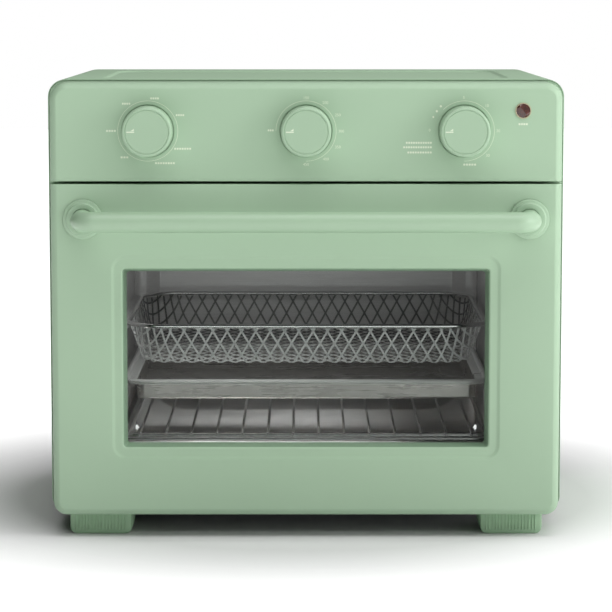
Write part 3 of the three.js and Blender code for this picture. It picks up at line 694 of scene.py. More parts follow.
# The outline of one half of the front slab at a depth, drawn in further by extra.
def slabRing(low, high, depth, extra=0):
    size = slabSizes
    soft = softInset(depth, size["softening"], size["power"]) + extra
    seam = softInset(depth, size["seamEdge"]) + extra
    isDoor = low < shellLow.z + 5
    bottomInset = soft if isDoor else seam
    topInset = seam if isDoor else soft
    bottomRadius = max(size["bottomRadius"] - soft, 0.3) if isDoor else 0.3
    topRadius = 0.3 if isDoor else max(size["topRadius"] - soft, 0.3)
    x = slabHalf - soft
    radii = [bottomRadius, bottomRadius, topRadius, topRadius]
    ring = roundedRectangle(-x, x, low + bottomInset, high - topInset, radii, size["steps"])
    return atDepth(ring, depth)


def makeControlPanel():
    size = slabSizes
    low, high = panelLow.z, panelHigh.z
    back = panelHigh.y - frontY
    rings = [slabRing(low, high, 0, 0.5)]
    rings += [slabRing(low, high, depth) for depth in edgeDepths]
    rings += [slabRing(low, high, 5.6), slabRing(low, high, back - 0.6), slabRing(low, high, back)]
    rings += [slabRing(low, high, back, size["wall"]), slabRing(low, high, size["wall"] + 2, size["wall"])]
    piece = addPiece("control_fascia", *loft(rings), frontFinish)
    knobLow, knobHigh = boxOf("selector_shaft")
    knobZ = (knobLow.z + knobHigh.z) / 2
    knobX = (knobLow.x + knobHigh.x) / 2
    pocket = size["pocket"]
    cutSlots(piece, 3, (knobX, 0, knobZ), (-knobX, 0, 0), pocket, pocket, 2 * size["pocketDepth"], sides=72)
    shaftHole = size["shaftHole"]
    cutSlots(piece, 3, (knobX, 0, knobZ), (-knobX, 0, 0), shaftHole, shaftHole, 80)
    lampLow, lampHigh = boxOf("indicator_lens")
    lampPlace = ((lampLow.x + lampHigh.x) / 2, 0, (lampLow.z + lampHigh.z) / 2)
    cutSlots(piece, 1, lampPlace, (0, 0, 0), size["lampHole"], size["lampHole"], 80)
    return carry(piece, "cabinet", "front_green", "control_panel")


makeControlPanel()
print("control panel made")


# ---- door ----

doorSizes = {
    "windowHalf": 142.9, "windowLow": 72.6, "windowHigh": 213.1, "windowCorner": 2.4,
    "draft": 2.1, "draftLow": 1.1, "draftHigh": 3.2,
    "dishHalf": 151, "dishLow": 64, "dishHigh": 222.6, "dishCorner": 10, "dishDepth": 1.2, "fillet": 1.5,
    "dimpleX": 121, "dimpleZ": 218.6, "dimpleWidth": 11, "dimpleHeight": 2.3,
    "collarWall": 4, "collarDepth": 16.7, "wall": 4, "notchWidth": 5, "notchTop": 31, "notchFront": 4.1,
}


# An outline round the window: share 0 is the window's own edge and 1 the dish's outer edge.
def windowRing(share, depth, grow=0):
    size = doorSizes
    x = size["windowHalf"] + share * (size["dishHalf"] - size["windowHalf"]) + grow
    low = size["windowLow"] + share * (size["dishLow"] - size["windowLow"]) - grow
    high = size["windowHigh"] + share * (size["dishHigh"] - size["windowHigh"]) + grow
    corner = size["windowCorner"] + share * (size["dishCorner"] - size["windowCorner"]) + grow
    return atDepth(roundedRectangle(-x, x, low, high, max(corner, 0.4), slabSizes["steps"]), depth)


# The window's wall, drawn in towards its back.
def collarRing(depth, grow=0):
    size = doorSizes
    share = depth / size["collarDepth"]
    x = size["windowHalf"] - share * size["draft"] + grow
    low = size["windowLow"] + share * size["draftLow"] - grow
    high = size["windowHigh"] - share * size["draftHigh"] + grow
    corner = size["windowCorner"] + grow
    return atDepth(roundedRectangle(-x, x, low, high, corner, slabSizes["steps"]), depth)


def makeDoor():
    size = doorSizes
    low, high = doorLow.z, doorHigh.z
    back = doorHigh.y - frontY
    fillet = size["fillet"]
    dish = size["dishDepth"]
    rings = [collarRing(size["collarDepth"]), collarRing(dish + fillet + 0.4)]
    for k in range(7):
        angle = math.radians(90 * k / 6)
        grow = fillet * (1 - math.cos(angle))
        rings.append(windowRing(0, dish + fillet * (1 - math.sin(angle)), grow))
    for share, depth in ((0.3, 1.0), (0.74, 1.0), (0.82, 0.94), (0.9, 0.76), (0.97, 0.5), (1.04, 0.24),
                         (1.12, 0.06), (1.2, 0)):
        rings.append(windowRing(share, dish * depth))
    rings.append(slabRing(low, high, 0, 0.5))
    rings += [slabRing(low, high, depth) for depth in edgeDepths]
    rings += [slabRing(low, high, 5.6), slabRing(low, high, back - 0.6), slabRing(low, high, back)]
    rings += [slabRing(low, high, back, size["wall"]), slabRing(low, high, size["wall"] + 2, size["wall"])]
    rings += [collarRing(size["wall"] + 2, size["collarWall"])]
    rings += [collarRing(size["collarDepth"], size["collarWall"])]
    shapes = [loft(rings, loop=True)]
    for x in (-size["dimpleX"], 0, size["dimpleX"]):
        halfX = size["dimpleWidth"] / 2
        halfZ = size["dimpleHeight"] / 2
        z = size["dimpleZ"]
        lozenge = []
        for inset, depth in ((0, 1.6), (0, 0.5), (0.25, 0.2), (0.8, 0.08)):
            across = halfX - inset
            along = halfZ - inset
            ring = roundedRectangle(x - across, x + across, z - along, z + along, along - 0.05, 6)
            lozenge.append(atDepth(ring, depth))
        shapes.append(loft(lozenge))
    piece = addPiece("door_fascia", *joined(*shapes), frontFinish)
    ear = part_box("hinge_bracket_right")[1].x / mm - 1.5
    length = 2 * (size["notchTop"] - doorLow.z)
    through = 60
    cutSlots(piece, 2, (-ear, size["notchFront"] + through / 2, doorLow.z), (2 * ear, 0, 0),
             size["notchWidth"], length, through)
    # Faces of the window's wall take the darker green, which is painted shade in the recess and not a different
    # plastic.
    piece.data.materials.append(collarShadeFinish)
    deepest = frontY + size["collarDepth"] + 0.1
    nearest = frontY + dish + fillet * 0.6
    slack = 0.9
    for face in piece.data.polygons:
        place = face.center / mm
        across = abs(place.x) < size["windowHalf"] + slack
        along = size["windowLow"] - slack < place.z < size["windowHigh"] + slack
        if across and along and nearest < place.y < deepest:
            face.material_index = 1
    return carry(piece, "door", "front_green", "door_panel")


makeDoor()
print("door made")


# ---- knobs ----

knobSizes = {
    "base": 19.7, "cap": 19.4, "length": 18, "face": 16.4, "grooveWidth": 0.7, "groove": 0.6, "rimRound": 1.9,
    "bore": 3.3, "boreDepth": 12, "seat": 0.9,
    "markStart": 9.4, "markEnd": 15.4, "markWidth": 0.9, "triangle": 2.6,
}


def makeKnob(name, body, node):
    size = knobSizes
    low, high = boxOf(node)
    x = (low.x + high.x) / 2
    z = (low.z + high.z) / 2
    length = size["length"]
    face = size["face"]
    outline = [
        (0, -size["boreDepth"]), (size["bore"], -size["boreDepth"]), (size["bore"], size["seat"]),
        (size["base"], size["seat"]), (size["cap"], -length), (face + size["grooveWidth"], -length),
        (face + size["grooveWidth"] / 2, -length + size["groove"]), (face, -length),
        (face - 0.6, -length), (0, -length)]
    radii = [0, 0.1, 0.3, 0.4, size["rimRound"], 0.25, 0.12, 0.3, 0, 0]
    profile = filletPath(outline, radii, 6)
    points, faces = turned([(max(r, 0), d) for r, d in profile], x, z, 96)
    piece = addPiece(name, points, faces, trimFinish, smooth=50)
    cutSlots(piece, 1, (x - size["base"] - 0.2, -9, z + 1), (0, 0, 0), 1.3, 1.3, 22)
    carry(piece, body, "trim_green", node)
    half = size["markWidth"] / 2
    top = z + half + 0.4
    rings = []
    for depth in (-length + 0.1, -length - 0.06):
        bar = roundedRectangle(x - size["markEnd"], x - size["markStart"], z - half, z + half, 0.2, 3)
        rings.append(atDepth(bar, depth))
    inner = x - size["markStart"] - 0.2
    arrow = [(inner - size["triangle"], top), (inner, top), (inner, top + size["triangle"] * 0.7)]
    sides = [atDepth(arrow, depth) for depth in (-length + 0.1, -length - 0.06)]
    mark = addPiece(name + "_mark", *joined(loft(rings), loft(sides)), printFinish)
    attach(mark, body)


for knobName, knobBody in (("selector", "selector"), ("thermostat", "heat_dial"), ("timer", "time_dial")):
    makeKnob(knobName + "_cap", knobBody, knobName + "_knob")
print("knobs made")


# ---- handle ----

handleSizes = {"radius": 8, "bend": 12, "sides": 40, "foot": 15.5, "collar": 12.6, "thickness": 4.5}


def makeHandle():
    size = handleSizes
    low, high = boxOf("handle_bar")
    radius = size["radius"]
    z = (low.z + high.z) / 2
    x = high.x - radius
    barY = low.y + radius
    endY = high.y
    corners = [(-x, endY, z), (-x, barY, z), (x, barY, z), (x, endY, z)]
    path = filletPath(corners, [0, size["bend"], size["bend"], 0], 14)
    piece = addPiece("handle_tube", *sweep(path, radius, size["sides"]), trimFinish, smooth=50)
    carry(piece, "door", "trim_green", "handle_bar")
    for name, side in (("left", -1), ("right", 1)):
        outline = [
            (radius + 0.3, -0.3), (size["foot"], -0.3), (size["foot"], -2.2), (size["collar"] + 0.2, -2.7),
            (size["collar"], -size["thickness"]), (radius + 0.3, -size["thickness"])]
        profile = filletPath(outline + outline[:1], [0, 0.2, 0.9, 0.9, 0.9, 0.5, 0], 5)[:-1]
        ring = addPiece("handle_foot_" + name, *turned(profile, side * x, z, 72), trimFinish, smooth=50)
        carry(ring, "door", "trim_green", "handle_rosette_" + name)


makeHandle()
print("handle made")


# ---- printed marks ----

# Angles run anticlockwise from the right; label places are offsets from the knob's centre.
markSizes = {
    "ring": 23.3, "ringWidth": 0.32, "lift": 0.06, "digit": 3.1, "bar": 1.5,
    "selector": {
        "arc": (0, 360),
        "bars": [(-16.6, 21.1, 6.8), (5.4, 25.2, 7), (25, 12.3, 6.8), (26.9, -13.7, 13.5), (13.1, -24.9, 15.8),
                 (-18.2, -20.4, 6.5), (-28.5, 0.1, 8)]},
    "thermostat": {
        "arc": (-90, 180),
        "bars": [(-27.4, 0.5, 5)],
        "digits": [(0, 25.5, "150"), (14.9, 21.8, "200"), (24.6, 12.3, "250"), (27.2, -0.2, "300"),
                   (24.6, -12.5, "350"), (15.4, -21.8, "400"), (0, -25.9, "450")]},
    "timer": {
        "arc": (-90, 135),
        "bars": [(-24.1, 10.8, 1.6), (4.3, -26, 10.4), (-35.2, -9.1, 20.5), (-36.2, -12.6, 22.5),
                 (-34.6, -16.6, 19.3)],
        "dots": [(-21.4, 15.3), (-18.3, 19.1)],
        "digits": [(-26.9, 0.6, "0"), (-0.5, 25.8, "5"), (17.3, 19.5, "10"), (26.2, 0.1, "20"),
                   (18.3, -19, "30")]},
}


# A short word's worth of small even blocks, with no letter shapes.
def markBlocks(x, z, width):
    size = markSizes
    count = max(1, round(width / 1.9))
    pitch = width / count
    shapes = []
    for k in range(count):
        middle = x - width / 2 + pitch * (k + 0.5)
        half = pitch * 0.39
        low = z - size["bar"] / 2
        block = roundedRectangle(middle - half, middle + half, low, low + size["bar"], 0.25, 2)
        shapes.append(loft([atDepth(block, 0.2), atDepth(block, -size["lift"])]))
    return shapes


def markArc(x, z, start, end):
    size = markSizes
    whole = end - start >= 360
    steps = max(8, round((end - start) / 3))
    rings = []
    for k in range(steps if whole else steps + 1):
        angle = math.radians(start + (end - start) * k / steps)
        inner = size["ring"] - size["ringWidth"] / 2
        outer = size["ring"] + size["ringWidth"] / 2
        section = [(inner, 0.2), (outer, 0.2), (outer, -size["lift"]), (inner, -size["lift"])]
        turn = (math.cos(angle), math.sin(angle))
        rings.append([(x + r * turn[0], frontY + depth, z + r * turn[1]) for r, depth in section])
    return loft(rings, caps=not whole, loop=whole)


# A dial number as a thin mesh on the panel's face.
def addDigits(name, text, x, z):
    size = markSizes
    curve = bpy.data.curves.new(name, "FONT")
    curve.body = text
    curve.size = size["digit"] * mm
    curve.extrude = size["lift"] * mm
    curve.align_x = "CENTER"
    curve.align_y = "CENTER"
    curve.resolution_u = 3
    source = bpy.data.objects.new(name + "_text", curve)
    bpy.context.scene.collection.objects.link(source)
    bpy.context.view_layer.update()
    mesh = bpy.data.meshes.new_from_object(source.evaluated_get(bpy.context.evaluated_depsgraph_get()))
    bpy.data.objects.remove(source)
    stand = Matrix.Translation(Vector((x, frontY, z)) * mm) @ Matrix.Rotation(math.radians(90), 4, "X")
    mesh.transform(stand)
    mesh.materials.clear()
    mesh.materials.append(printFinish)
    piece = bpy.data.objects.new(name, mesh)
    bpy.context.scene.collection.objects.link(piece)
    return piece


def makeMarks():
    size = markSizes
    shapes = []
    pieces = []
    for dial in ("selector", "thermostat", "timer"):
        low, high = boxOf(dial + "_knob")
        x = (low.x + high.x) / 2
        z = (low.z + high.z) / 2
        look = size[dial]
        shapes.append(markArc(x, z, *look["arc"]))
        for dx, dz, width in look["bars"]:
            shapes += markBlocks(x + dx, z + dz, width)
        for dx, dz in look.get("dots", []):
            dot = roundedRectangle(x + dx - 0.9, x + dx + 0.9, z + dz - 0.9, z + dz + 0.9, 0.88, 4)
            shapes.append(loft([atDepth(dot, 0.2), atDepth(dot, -size["lift"])]))
        for k, (dx, dz, text) in enumerate(look.get("digits", [])):
            pieces.append(addDigits(f"{dial}_number_{k}", text, x + dx, z + dz))
    low, high = boxOf("indicator_lens")
    shapes += markBlocks((low.x + high.x) / 2, low.z - 4.2, 7.5)
    pieces.append(addPiece("panel_marks", *joined(*shapes), printFinish))
    for piece in pieces:
        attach(piece, "cabinet")


makeMarks()
print("marks made")


# ---- indicator lens ----

lensSizes = {"radius": 5.35, "edge": -0.5, "ridge": -1.9, "ridgeLean": 128, "bezel": 6.25, "bezelLift": 0.7}


# A lens with two facets that meet in a slanting ridge, in a thin raised rim.
def makeLens():
    size = lensSizes
    low, high = boxOf("indicator_lens")
    x = (low.x + high.x) / 2
    z = (low.z + high.z) / 2
    radius = size["radius"]
    ridge = math.radians(size["ridgeLean"])
    back = []
    rim = []
    crest = []
    for k in range(64):
        angle = 2 * math.pi * k / 64 + ridge
        px = math.cos(angle) * radius
        pz = math.sin(angle) * radius
        back.append((x + px, high.y, z + pz))
        rim.append((x + px, frontY + size["edge"], z + pz))
        along = math.cos(angle - ridge) * radius * 0.92
        crest.append((x + along * math.cos(ridge), frontY + size["ridge"], z + along * math.sin(ridge)))
    points, faces = loft([back, rim, crest], caps=False)
    faces.append(tuple(range(64))[::-1])
    lens = addPiece("lamp_lens", points, faces, lensRed, smooth=12)
    carry(lens, "cabinet", "lamp_lens", "indicator_lens")
    lift = size["bezelLift"]
    inner = radius + 0.05
    outline = [(inner, 0.4), (size["bezel"], 0.4), (size["bezel"], -lift), (inner, -lift), (inner, 0.4)]
    profile = filletPath(outline, [0, 0.05, 0.3, 0.3, 0], 4)[:-1]
    bezel = addPiece("lamp_bezel", *turned(profile, x, z, 64), bezelFinish, smooth=50)
    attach(bezel, "cabinet")


makeLens()
print("lens made")


# ---- feet ----

footSizes = {"corner": 5, "edge": 1.2, "rib": 0.55, "ribPitch": 2.6, "inset": 4.5}


def makeFoot(node):
    size = footSizes
    low, high = boxOf(node)
    edge = size["edge"]
    rings = []
    near = edge * 0.3
    for inset, depth in ((edge, low.y), (near, low.y + near), (0, low.y + edge), (0, high.y - edge),
                         (near, high.y - near), (edge, high.y)):
        corners = [size["corner"] - inset, size["corner"] - inset, 0.4, 0.4]
        ring = roundedRectangle(low.x + inset, high.x - inset, low.z + inset, high.z, corners, 6)
        rings.append([(x, depth, z) for x, z in ring])
    block = addPiece(node + "_block", *loft(rings), footFinish)
    bottom = low.z + 3.2
    top = high.z - 0.3
    inset = size["inset"]
    pitch = size["ribPitch"]
    counts = [int((span - 2 * inset) / pitch) + 1 for span in (high.x - low.x, high.y - low.y)]
    ribs = []
    for name, y in (("front", low.y), ("rear", high.y)):
        line = [(low.x + inset, y, bottom), (low.x + inset, y, top)]
        row = (counts[0], (pitch, 0, 0))
        ribs.append(addBars(f"{node}_ribs_{name}", [line], size["rib"], 8, footFinish, *row))
    for name, x in (("inner", low.x), ("outer", high.x)):
        line = [(x, low.y + inset, bottom + 1.5), (x, low.y + inset, top)]
        row = (counts[1], (0, pitch, 0))
        ribs.append(addBars(f"{node}_ribs_{name}", [line], size["rib"], 8, footFinish, *row))
    carry(block, "cabinet", "foot_plastic", node)
    for piece in ribs:
        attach(piece, "cabinet")


for footNode in ("foot_front_left", "foot_front_right", "foot_rear_left", "foot_rear_right"):
    makeFoot(footNode)
print("feet made")


# ---- window glass ----

def makeGlass():
    low, high = boxOf("door_glass")
    edge = 0.5
    front = low.y - frontY
    back = high.y - frontY
    rings = []
    for inset, depth in ((edge, front), (0, front + edge), (0, back - edge), (edge, back)):
        ring = roundedRectangle(low.x + inset, high.x - inset, low.z + inset, high.z - inset, 4 - inset, 6)
        rings.append(atDepth(ring, depth))
    piece = addPiece("window_pane", *loft(rings), glass, smooth=20)
    piece.visible_shadow = False
    return carry(piece, "door", "window_glass", "door_glass")


makeGlass()
print("glass made")


# ---- cavity lining ----

linerSizes = {
    "sheet": 0.8, "panelHalf": 130, "panelLow": 69.5, "panelHigh": 238.5, "panelCorner": 24,
    "panelDepth": 290, "slope": 11.5, "wallDepth": 280, "bend": 2.6, "sideFillet": 8, "floorFillet": 16,
    "floorTurn": 77, "cornerEnd": 14,
    "rib": 9.5, "ribHeight": 3, "ribBack": 268,
}


# The rear wall's outline, grown by the same amount on each side.
def rearRing(grow, depth):
    size = linerSizes
    x = size["panelHalf"] + grow
    low = size["panelLow"] - grow
    high = size["panelHigh"] + grow
    return atDepth(roundedRectangle(-x, x, low, high, size["panelCorner"] + grow, 8), depth)


# The rear wall where it turns into the sides, the ceiling and the floor; share runs from 0 to 1.
def rearFilletRing(share, x, low, high):
    size = linerSizes
    angle = math.radians(90 * share)
    floorAngle = math.radians(size["floorTurn"] * share)
    side = size["sideFillet"]
    floor = size["floorFillet"]
    xEdge = x - side + side * math.sin(angle)
    highEdge = high - side + side * math.sin(angle)
    lowEdge = low + floor - floor * math.sin(floorAngle)
    sideDepth = size["wallDepth"] - side * (1 - math.cos(angle))
    floorDepth = size["wallDepth"] - floor * (1 - math.cos(floorAngle))
    widest = size["panelCorner"] + size["slope"]
    corner = widest - share * (widest - size["cornerEnd"])
    ring = []
    steps = 8
    for i, (px, pz) in enumerate(roundedRectangle(-xEdge, xEdge, lowEdge, highEdge, corner, steps)):
        k = i % (steps + 1) / steps
        lowShare = {0: k, 1: 1 - k}.get(i // (steps + 1), 0)
        ring.append((px, frontY + sideDepth + (floorDepth - sideDepth) * lowShare, pz))
    return ring


def makeLinerBack():
    size = linerSizes
    sideX = boxOf("liner_right")[1].x - size["sheet"]
    top = boxOf("liner_top")[0].z
    floor = boxOf("liner_floor")[1].z
    outline = [(-10, size["panelDepth"]), (0, size["panelDepth"]), (size["slope"], size["wallDepth"]),
               (size["slope"] + 1.4, size["wallDepth"])]
    profile = filletPath(outline, [0, size["bend"], size["bend"], 0], 5)
    rings = [rearRing(grow, depth) for grow, depth in profile[:-1]]
    rings += [rearFilletRing(k / 8, sideX, floor, top) for k in range(9)]
    points, faces = loft(rings, caps=False)
    faces.append(tuple(range(len(rings[0])))[::-1])
    piece = addPiece("liner_rear_wall", points, faces, linerFinish, smooth=40, turnOut=False)
    thicken(piece, size["sheet"])
    return carry(piece, "cabinet", "liner_metal", "liner_back")


# A pressed ledge on a side wall, with a round nose and round ends.
def ledgeRib(side, wallX, front, back, top):
    size = linerSizes
    half = size["ribHeight"] / 2
    middle = top - half
    reach = size["rib"]
    stops = []
    for k in range(7):
        angle = math.radians(90 * k / 6)
        stops.append((front + reach * (1 - math.cos(angle)), math.sin(angle)))
    stops += [(back - (depth - front), share) for depth, share in reversed(stops)]
    rings = []
    for depth, share in stops:
        nose = max(reach * share, 0.2)
        straight = max(nose - half, 0.05)
        ring = [(0.3, -half), (-straight, -half)]
        for k in range(1, 6):
            angle = math.radians(-90 + 180 * k / 6)
            ring.append((-straight - min(half, nose) * math.cos(angle), half * math.sin(angle)))
        ring += [(-straight, half), (0.3, half)]
        rings.append([(side * (wallX + x), frontY + depth, middle + z) for x, z in ring])
    return loft(rings)


def makeLinerSides():
    size = linerSizes
    for name, side in (("left", -1), ("right", 1)):
        low, high = boxOf("liner_" + name)
        outer = max(abs(low.x), abs(high.x))
        wallX = outer - size["sheet"]
        front = low.y - frontY
        back = size["wallDepth"] - size["sideFillet"]
        rings = []
        for x, inset in ((wallX, 0.2), (wallX + 0.2, 0), (outer - 0.2, 0), (outer, 0.2)):
            ring = roundedRectangle(front + inset, back - inset, low.z + inset, high.z - inset, 0.6, 2)
            rings.append([(side * x, frontY + depth, z) for depth, z in ring])
        shapes = [loft(rings)]
        for node in ("wire_rack", "baking_pan", "air_fry_basket"):
            top = {"wire_rack": 74.2, "baking_pan": 116.6, "air_fry_basket": 162.2}[node]
            shapes.append(ledgeRib(side, wallX, 43, size["ribBack"], top))
        piece = addPiece("liner_side_" + name, *joined(*shapes), linerFinish)
        for level in ("lower", "upper"):
            a = boxOf(level + "_element_front")
            b = boxOf(level + "_element_rear")
            depth = (a[0].y + a[1].y) / 2 - frontY
            step = (b[0].y + b[1].y) / 2 - frontY - depth
            place = (side * wallX, depth, (a[0].z + a[1].z) / 2)
            cutSlots(piece, 2, place, (0, step, 0), 9, 9, 8, (0, 0, 90))
        carry(piece, "cabinet", "liner_metal", "liner_" + name)


makeLinerBack()
makeLinerSides()
print("lining made")


# ---- screws ----

screwSizes = {"head": 3.4, "lift": 1.7, "slot": 0.9, "slotLength": 3.8}


# Cross-head screws on these (x, depth, z) places; turn is in degrees, and 0 faces the front.
def addScrews(name, places, body, turn=(0, 0, 0)):
    size = screwSizes
    head = size["head"]
    lift = size["lift"]
    angles = [math.radians(15 * k) for k in range(1, 6)]
    dome = [(head * math.sin(angle), -lift * math.cos(angle)) for angle in angles]
    points, faces = turned([(0, -lift), *dome, (head, -0.1), (head, 0.6), (0, 0.6)], 0, 0, 24)
    points = [(x, y - frontY, z) for x, y, z in points]
    source = addPiece(name + "_source", points, faces, pinFinish, smooth=50)
    crown = (0, -frontY - lift - 0.4, 0)
    for lean in (0, 90):
        cutSlots(source, 1, crown, (0, 0, 0), size["slot"], size["slotLength"], 2.2, (0, lean, 0))
    mesh = bpy.data.meshes.new(name)
    mesh.from_pydata([Vector((x, frontY + depth, z)) * mm for x, depth, z in places], [], [])
    piece = bpy.data.objects.new(name, mesh)
    bpy.context.scene.collection.objects.link(piece)
    turnNow = [math.radians(angle) for angle in turn]
    settle(piece, scatterNodes, {"Piece": source, "Turn": turnNow, "Material": pinFinish}, 50)
    bpy.data.objects.remove(source)
    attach(piece, body)


# ---- back panel ----

backSizes = {
    "inset": 0.4, "sheet": 1.0, "half": 150, "low": 50, "high": 260, "corner": 14, "foot": 2.2,
    "shoulder": 4.5, "ventCount": 20, "ventFirst": -114, "ventPitch": 12, "ventWidth": 4, "ventLow": 290,
    "ventHigh": 330, "trayHeight": 40.7, "trayWidth": 5.4, "trayLength": 305.6, "glandX": 165, "glandZ": 60,
    "glandHole": 16.6, "screwEdge": 9, "screwCorner": 21, "screwInner": 62, "screwRows": (27, 351),
    "screwSides": (110, 190, 270),
}


# The casing's outline, drawn in.
def caseRing(inset, depth, topRadius):
    x = halfWidth - inset
    radii = [shellSizes["bottomRadius"] - inset] * 2 + [topRadius - inset] * 2
    return atDepth(roundedRectangle(-x, x, shellLow.z + inset, shellHigh.z - inset, radii, 8), depth)


def bulgeRing(grow, depth):
    size = backSizes
    x = size["half"] + grow
    ring = roundedRectangle(-x, x, size["low"] - grow, size["high"] + grow, size["corner"] + grow, 8)
    return atDepth(ring, depth)


# Turns a skin's faces so that its last face looks to the rear, or to the front.
def facingRear(points, faces, rear=True):
    a, b, c = (Vector(points[k]) for k in faces[-1][:3])
    looksRear = (b - a).cross(c - a).y > 0
    return points, faces if looksRear == rear else [face[::-1] for face in faces]


def makeBackPanel():
    size = backSizes
    low, high = boxOf("back_panel")
    plate = low.y - frontY + size["sheet"]
    rise = high.y - frontY
    outline = [(10, plate), (0, plate), (-2, rise), (-14, rise)]
    profile = filletPath(outline, [0, size["foot"], size["shoulder"], 0], 6)
    top = shellSizes["rearRadius"]
    rings = [caseRing(size["inset"], plate, top), caseRing(size["inset"] + 3, plate, top)]
    rings += [bulgeRing(grow, depth) for grow, depth in profile]
    points, faces = loft(rings, caps=False)
    start = (len(rings) - 1) * len(rings[0])
    faces.append(tuple(range(start, len(points))))
    piece = addPiece("rear_cover", *facingRear(points, faces), sheetFinish, turnOut=False)
    thicken(piece, size["sheet"])
    ventZ = (size["ventLow"] + size["ventHigh"]) / 2
    through = 20
    cutSlots(piece, size["ventCount"], (size["ventFirst"], plate, ventZ), (size["ventPitch"], 0, 0),
             size["ventWidth"], size["ventHigh"] - size["ventLow"], through)
    cutSlots(piece, 1, (0, plate, size["trayHeight"]), (0, 0, 0), size["trayWidth"], size["trayLength"],
             through, (0, 90, 0))
    hole = size["glandHole"]
    cutSlots(piece, 1, (size["glandX"], plate, size["glandZ"]), (0, 0, 0), hole, hole, through, sides=32)
    carry(piece, "cabinet", "sheet_steel", "back_panel")
    edge = halfWidth - size["screwEdge"]
    corner = halfWidth - size["screwCorner"]
    inner = size["screwInner"]
    places = [(x, plate, z) for z in size["screwRows"] for x in (-corner, -inner, inner, corner)]
    places += [(side * edge, plate, z) for side in (-1, 1) for z in size["screwSides"]]
    addScrews("rear_screws", places, "cabinet", (0, 0, 180))


makeBackPanel()


def makeGland():
    low, high = boxOf("cord_gland")
    size = backSizes
    back = high.y - frontY
    front = low.y - frontY
    section = [(3.6, 0), (8, 0), (8, 6), (11, 6), (11, 9), (8.4, 10.5), (8.4, 11.4), (7.6, 11.4), (7.6, 12.4),
               (7.9, 12.4), (7.9, 13.2), (7, 13.2)]
    outline = [(radius, front + depth) for radius, depth in section] + [(6.8, back), (3.6, back)]
    profile = filletPath(outline, [0.2, 0.2, 0.1, 0.5, 0.5, 0.3] + [0.1] * 6 + [0.8, 0.3], 4, True)
    points, faces = turned(profile, size["glandX"], size["glandZ"], 40)
    piece = addPiece("cord_bush", points, faces, blackFinish, smooth=45)
    carry(piece, "cabinet", "black_plastic", "cord_gland")


makeGland()
print("back made")


# ---- front frame and the door's inner frame ----

frameSizes = {
    "half": 201, "low": 19, "high": 358.5, "lowCorner": 9.5, "highCorner": 12.5, "sheet": 0.9,
    "holeHalf": 151, "holeLow": 38.5, "holeHigh": 261.5, "earX": 183.5, "earZ": 27, "earLength": 8.2,
    "earWidth": 4, "dialsZ": 321, "dialsHigh": 58, "dialsLong": 304, "screwX": 186, "screwRows": (60, 160, 250),
    "shadeHalf": 198, "shadeLow": 20, "shadeHigh": 277, "shadeSheet": 0.8, "viewHalf": 146, "viewLow": 71,
    "viewHigh": 216, "press": 1.1, "notchWidth": 5, "shadeScrewX": 184, "shadeScrewRows": (52, 150, 262),
    "shadeScrewInner": 70,
}


def makeFrontFrame():
    size = frameSizes
    front = boxOf("front_frame")[0].y - frontY
    x = size["half"]
    radii = [size["lowCorner"]] * 2 + [size["highCorner"]] * 2
    rings = [atDepth(roundedRectangle(-x, x, size["low"], size["high"], radii, 6), front)]
    outline = [(9, front), (2, front), (1, front + 0.5), (0, front + 0.5), (0, front + 1.4)]
    for grow, depth in filletPath(outline, [0, 0.6, 0.5, 0.4, 0], 4):
        ring = roundedRectangle(-size["holeHalf"] - grow, size["holeHalf"] + grow, size["holeLow"] - grow,
                                size["holeHigh"] + grow, 2 + grow, 6)
        rings.append(atDepth(ring, depth))
    points, faces = loft(rings, caps=False)
    faces = faces[::-1]
    piece = addPiece("front_sheet", *facingRear(points, faces, False), shellFinish, turnOut=False)
    thicken(piece, size["sheet"])
    through = 12
    cutSlots(piece, 1, (0, front, size["dialsZ"]), (0, 0, 0), size["dialsHigh"], size["dialsLong"], through,
             (0, 90, 0))
    cutSlots(piece, 2, (-size["earX"], front, size["earZ"]), (2 * size["earX"], 0, 0), size["earWidth"],
             size["earLength"], through)
    carry(piece, "cabinet", "sheet_steel", "front_frame")
    places = [(side * size["screwX"], front, z) for side in (-1, 1) for z in size["screwRows"]]
    addScrews("front_sheet_screws", places, "cabinet")


def makeInnerFrame():
    size = frameSizes
    back = boxOf("door_inner_frame")[1].y - frontY
    x = size["shadeHalf"]
    rings = [atDepth(roundedRectangle(-x, x, size["shadeLow"], size["shadeHigh"], [8, 8, 1, 1], 6), back)]
    press = size["press"]
    outline = [(20, back), (15, back), (13, back - press), (1.5, back - press), (0, back - press - 0.1)]
    for grow, depth in filletPath(outline, [0, 1.5, 1.5, 0.5, 0], 4):
        half = size["viewHalf"] + grow
        ring = roundedRectangle(-half, half, size["viewLow"] - grow, size["viewHigh"] + grow, 3 + grow, 6)
        rings.append(atDepth(ring, depth))
    points, faces = loft(rings, caps=False)
    faces = faces[::-1]
    piece = addPiece("door_liner", *facingRear(points, faces), linerFinish, turnOut=False)
    thicken(piece, size["shadeSheet"])
    notch = 2 * (doorSizes["notchTop"] - doorLow.z)
    ear = size["earX"]
    cutSlots(piece, 2, (-ear, back, doorLow.z), (2 * ear, 0, 0), size["notchWidth"], notch, 8)
    carry(piece, "door", "sheet_steel", "door_inner_frame")
    rows = size["shadeScrewRows"]
    places = [(side * size["shadeScrewX"], back, z) for side in (-1, 1) for z in rows]
    places += [(x, back, rows[-1]) for x in (-size["shadeScrewInner"], size["shadeScrewInner"])]
    addScrews("door_liner_screws", places, "door", (0, 0, 180))


makeFrontFrame()
makeInnerFrame()
print("frames made")


# ---- crumb tray ----

# An outline in plan, drawn in by inset, at a height.
def planRing(halfX, front, back, corner, inset, z, steps=6):
    x = halfX - inset
    ring = roundedRectangle(-x, x, front + inset, back - inset, max(corner - inset, 0.5), steps)
    return atHeight(ring, z)


